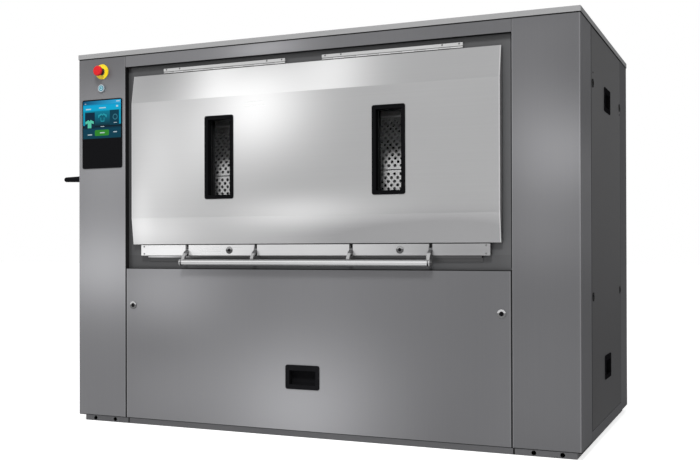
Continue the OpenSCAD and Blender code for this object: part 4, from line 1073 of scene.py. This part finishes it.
# Painted highlight across the upper part of the lower panels' lock rings; the rings on the sides
# are a little darker as painted shade.
ring_finish = steel(
    "polished ring steel", (0.05, 0.05, 0.051), (0.80, 0.80, 0.81), 0.8, 0.2, upright_grain,
    0.10, (), 0.1, 0.12, (
        (0.42, {"X": (-0.99, 0.99), "Z": (0.4715, 0.4900)}),
        (-0.10, {"X": (0.99, 1.02)}), (-0.10, {"X": (-1.02, -0.99)}),
    ),
)
black_lacquer = moulded("black lock core", (0.008, 0.008, 0.009), 0.3, gloss=0.0)
core_reach = 0.012


def is_ring(middle):
    """True for a bezel with its barrel: its middle is nearer to the face than a core's."""
    from_front = min(abs(abs(middle.y) - 0.544), abs(abs(middle.x) - 1.0))
    return from_front < core_reach


rings = dressed("lock_bodies", "lock_rings", only=is_ring)
rings.data.materials.append(ring_finish)
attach(rings, "cabinet")
cores = dressed("lock_bodies", "lock_cores", only=lambda middle: not is_ring(middle))
cores.data.materials.append(black_lacquer)
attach(cores, "cabinet")
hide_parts("lock_bodies")
for node, body in (
    ("panel_lock_left", "panel_lock_l"),
    ("panel_lock_right", "panel_lock_r"),
    ("rail_lock_left", "rail_lock_l"),
    ("rail_lock_right", "rail_lock_r"),
):
    core = dressed(node, node + "_core")
    core.data.materials.append(black_lacquer)
    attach(core, body)
    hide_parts(node)


# Recessed pulls. Black moulded grips with a flange round a cup, low in the middle of each
# lower panel and on the side hatches.

pulls = dressed("recessed_pulls", "recessed_pulls_rounded", 0.0012, shortest=0.02, sheet=0.002)
pulls.data.materials.append(
    moulded("black pull plastic", (0.008, 0.008, 0.009), 0.38, gloss=0.0)
)
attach(pulls, "cabinet")
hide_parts("recessed_pulls")


# Controls. A yellow disc under a red mushroom head, a steel ring with a lit teal cap, and
# the isolator's glossy black lever on the left side.

yellow, yellow_shader, yellow_place = new_finish("yellow disc, black in front")
# The front of the disc piece, between the yellow disc and the red head, is drawn black.
collar_front = yellow_place.node("ShaderNodeSeparateXYZ", {0: yellow_place}, "Y") < -0.5478
cloud = noise(yellow_place, 60.0, detail=2.0)
disc_yellow = blend(cloud, (0.80, 0.60, 0.010), (0.90, 0.70, 0.02))
feed(
    yellow_shader,
    Base_Color=blend(collar_front, disc_yellow, (0.02, 0.02, 0.02)),
    Roughness=0.33 + cloud * 0.1,
)
stop_line_z = 1.363
disc = dressed(
    "pushbutton_bases", "stop_disc", 0.0006, shortest=0.0001, only=lambda m: m.z > stop_line_z
)
disc.data.materials.append(yellow)
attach(disc, "cabinet")
ring = dressed(
    "pushbutton_bases", "power_ring", only=lambda m: m.z < stop_line_z
)
ring.data.materials.append(
    steel("pale ring steel", (0.36, 0.42, 0.47), (0.60, 0.66, 0.70), 0.8, 0.25, upright_grain)
)
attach(ring, "cabinet")
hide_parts("pushbutton_bases")
mushroom = dressed("estop_button", "stop_mushroom", 0.001, shortest=0.0001)
mushroom.data.materials.append(moulded("red mushroom plastic", (0.50, 0.014, 0.017), 0.3, 300.0))
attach(mushroom, "estop")
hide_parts("estop_button")

teal, teal_shader, teal_place = new_finish("lit teal cap")
from_middle = teal_place.node("ShaderNodeSeparateXYZ", {0: teal_place}, "X") + 0.886
from_height = teal_place.node("ShaderNodeSeparateXYZ", {0: teal_place}, "Z") - 1.330
reach = teal_place.math("SQRT", from_middle * from_middle + from_height * from_height)
in_ring = (reach > 0.0048) * (reach < 0.0068)
teal_shader.inputs["Emission Strength"].default_value = 0.12
teal_tone = blend(in_ring, (0.04, 0.19, 0.25), (0.45, 0.72, 0.78))
feed(teal_shader, Base_Color=teal_tone, Emission_Color=teal_tone, Roughness=0.25 + in_ring * 0.05)
cap = dressed("power_button", "power_cap")
cap.data.materials.append(teal)
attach(cap, "power")
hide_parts("power_button")

lever_finish = moulded("black lever", (0.006, 0.006, 0.007), 0.16, 120.0, 0.00005, 0.01)
lever = dressed("isolator_lever", "isolator_lever_gloss")
lever.data.materials.append(lever_finish)
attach(lever, "isolator")
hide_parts("isolator_lever")
finish_nodes(black_plastic, "isolator_base", "screen_housing")


# Touch screen. Black cover glass with rounded corners. Its upper part is lit, with a bright
# band, three tiles with garment marks and a green key; the lower part is plain black.

glass, glass_shader, glass_place = new_finish("screen glass")
screen_left, screen_top = -0.982, 1.287
screen_w, screen_h = 0.192, 0.276
u = (glass_place.node("ShaderNodeSeparateXYZ", {0: glass_place}, "X") - screen_left) / screen_w
v = (screen_top - glass_place.node("ShaderNodeSeparateXYZ", {0: glass_place}, "Z")) / screen_h


def patch(u0, u1, v0, v1):
    """1 inside a rectangle of the screen."""
    return (u > u0) * (u < u1) * (v > v0) * (v < v1)


def key(u_mid, v_mid, half_u, half_v, corner):
    """1 inside a rectangle with round corners, with its sizes in parts of the screen's width."""
    past_u = abs(u - u_mid) - (half_u - corner)
    past_v = abs(v - v_mid) * (screen_h / screen_w) - (half_v - corner)
    du, dv = (past.math("MAXIMUM", past, 0.0) for past in (past_u, past_v))
    return du * du + dv * dv < corner * corner


def garment(u_mid, v_mid, size):
    """1 inside a plain shirt outline."""
    du = abs(u - u_mid) / size
    dv = (v - v_mid) * (screen_h / screen_w) / size
    trunk = (du < 0.55) * (abs(dv) < 1.0)
    sleeves = (du < 1.25) * (dv + 0.55 < du * 0.35 + 0.15) * (dv > du * 0.35 - 1.05)
    neck = du * du + (dv + 1.05) * (dv + 1.05) < 0.09
    return trunk.math("MAXIMUM", trunk, sleeves) * (1.0 - neck)


lit = patch(0.022, 0.978, 0.018, 0.565)
rise = v.node(
    "ShaderNodeValToRGB",
    {0: v},
    stops=(
        (0.0, (0.0, 0.05, 0.13)),
        (0.065, (0.0, 0.08, 0.19)),
        (0.085, (0.0, 0.48, 0.86)),
        (0.155, (0.0, 0.50, 0.80)),
        (0.175, (0.0, 0.25, 0.37)),
        (0.36, (0.0, 0.055, 0.085)),
        (0.39, (0.0, 0.010, 0.02)),
        (0.43, (0.0, 0.06, 0.105)),
        (0.565, (0.0, 0.06, 0.095)),
    ),
)
view = blend(u * patch(0.0, 1.0, 0.0, 0.075), rise, (0.03, 0.55, 0.98))
edge_glow = (abs(u - 0.5) > 0.432) * patch(0.0, 1.0, 0.165, 0.37)
view = blend(edge_glow * 0.85, view, (0.0, 0.42, 0.66))
view = blend(patch(0.07, 0.32, 0.185, 0.42), view, (0.0, 0.025, 0.055))
view = blend(patch(0.70, 0.93, 0.165, 0.38), view, (0.0, 0.055, 0.095))
view = blend(garment(0.515, 0.265, 0.085), view, (0.02, 0.42, 0.52))
view = blend(garment(0.515, 0.270, 0.062), view, (0.0, 0.13, 0.19))
view = blend(garment(0.185, 0.35, 0.085), view, (0.12, 0.72, 0.50))
ring_u, ring_v = abs(u - 0.835), abs(v - 0.265) * (screen_h / screen_w)
hanger_r = ring_u * ring_u + ring_v * ring_v
view = blend((hanger_r < 0.0036) * (hanger_r > 0.0018), view, (0.05, 0.24, 0.32))
view = blend(key(0.5, 0.485, 0.18, 0.062, 0.03), view, (0.035, 0.30, 0.03))
marks = (
    patch(0.43, 0.60, 0.118, 0.132)
    + patch(0.09, 0.22, 0.128, 0.144)
    + patch(0.86, 0.91, 0.10, 0.125)
    + patch(0.45, 0.57, 0.478, 0.492)
    + patch(0.14, 0.25, 0.500, 0.514)
    + patch(0.79, 0.88, 0.475, 0.488)
    + patch(0.86, 0.95, 0.035, 0.048)
    + patch(0.06, 0.10, 0.052, 0.060)
    + patch(0.47, 0.56, 0.392, 0.400)
    + patch(0.80, 0.88, 0.345, 0.353)
)
view = blend(marks * 0.85, view, (0.75, 0.90, 0.95))
dark = (0.005, 0.005, 0.006)
view = blend(lit, dark, view)
home = key(0.48, 0.715, 0.02, 0.02, 0.018)
view = blend(home, view, (0.05, 0.055, 0.06))
film = noise(glass_place, 25.0, detail=2.0)
glass_shader.inputs["Emission Strength"].default_value = 0.62
glass_shader.inputs["Specular IOR Level"].default_value = 0.03
feed(
    glass_shader,
    Base_Color=blend(lit * 0.10, dark, view),
    Emission_Color=blend(lit, (0.0, 0.0, 0.0), view),
    Roughness=0.10 + film * 0.06,
)
screen = dressed("screen_glass", "screen_glass_plate")
screen.data.materials.append(glass)
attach(screen, "cabinet")
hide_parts("screen_glass")
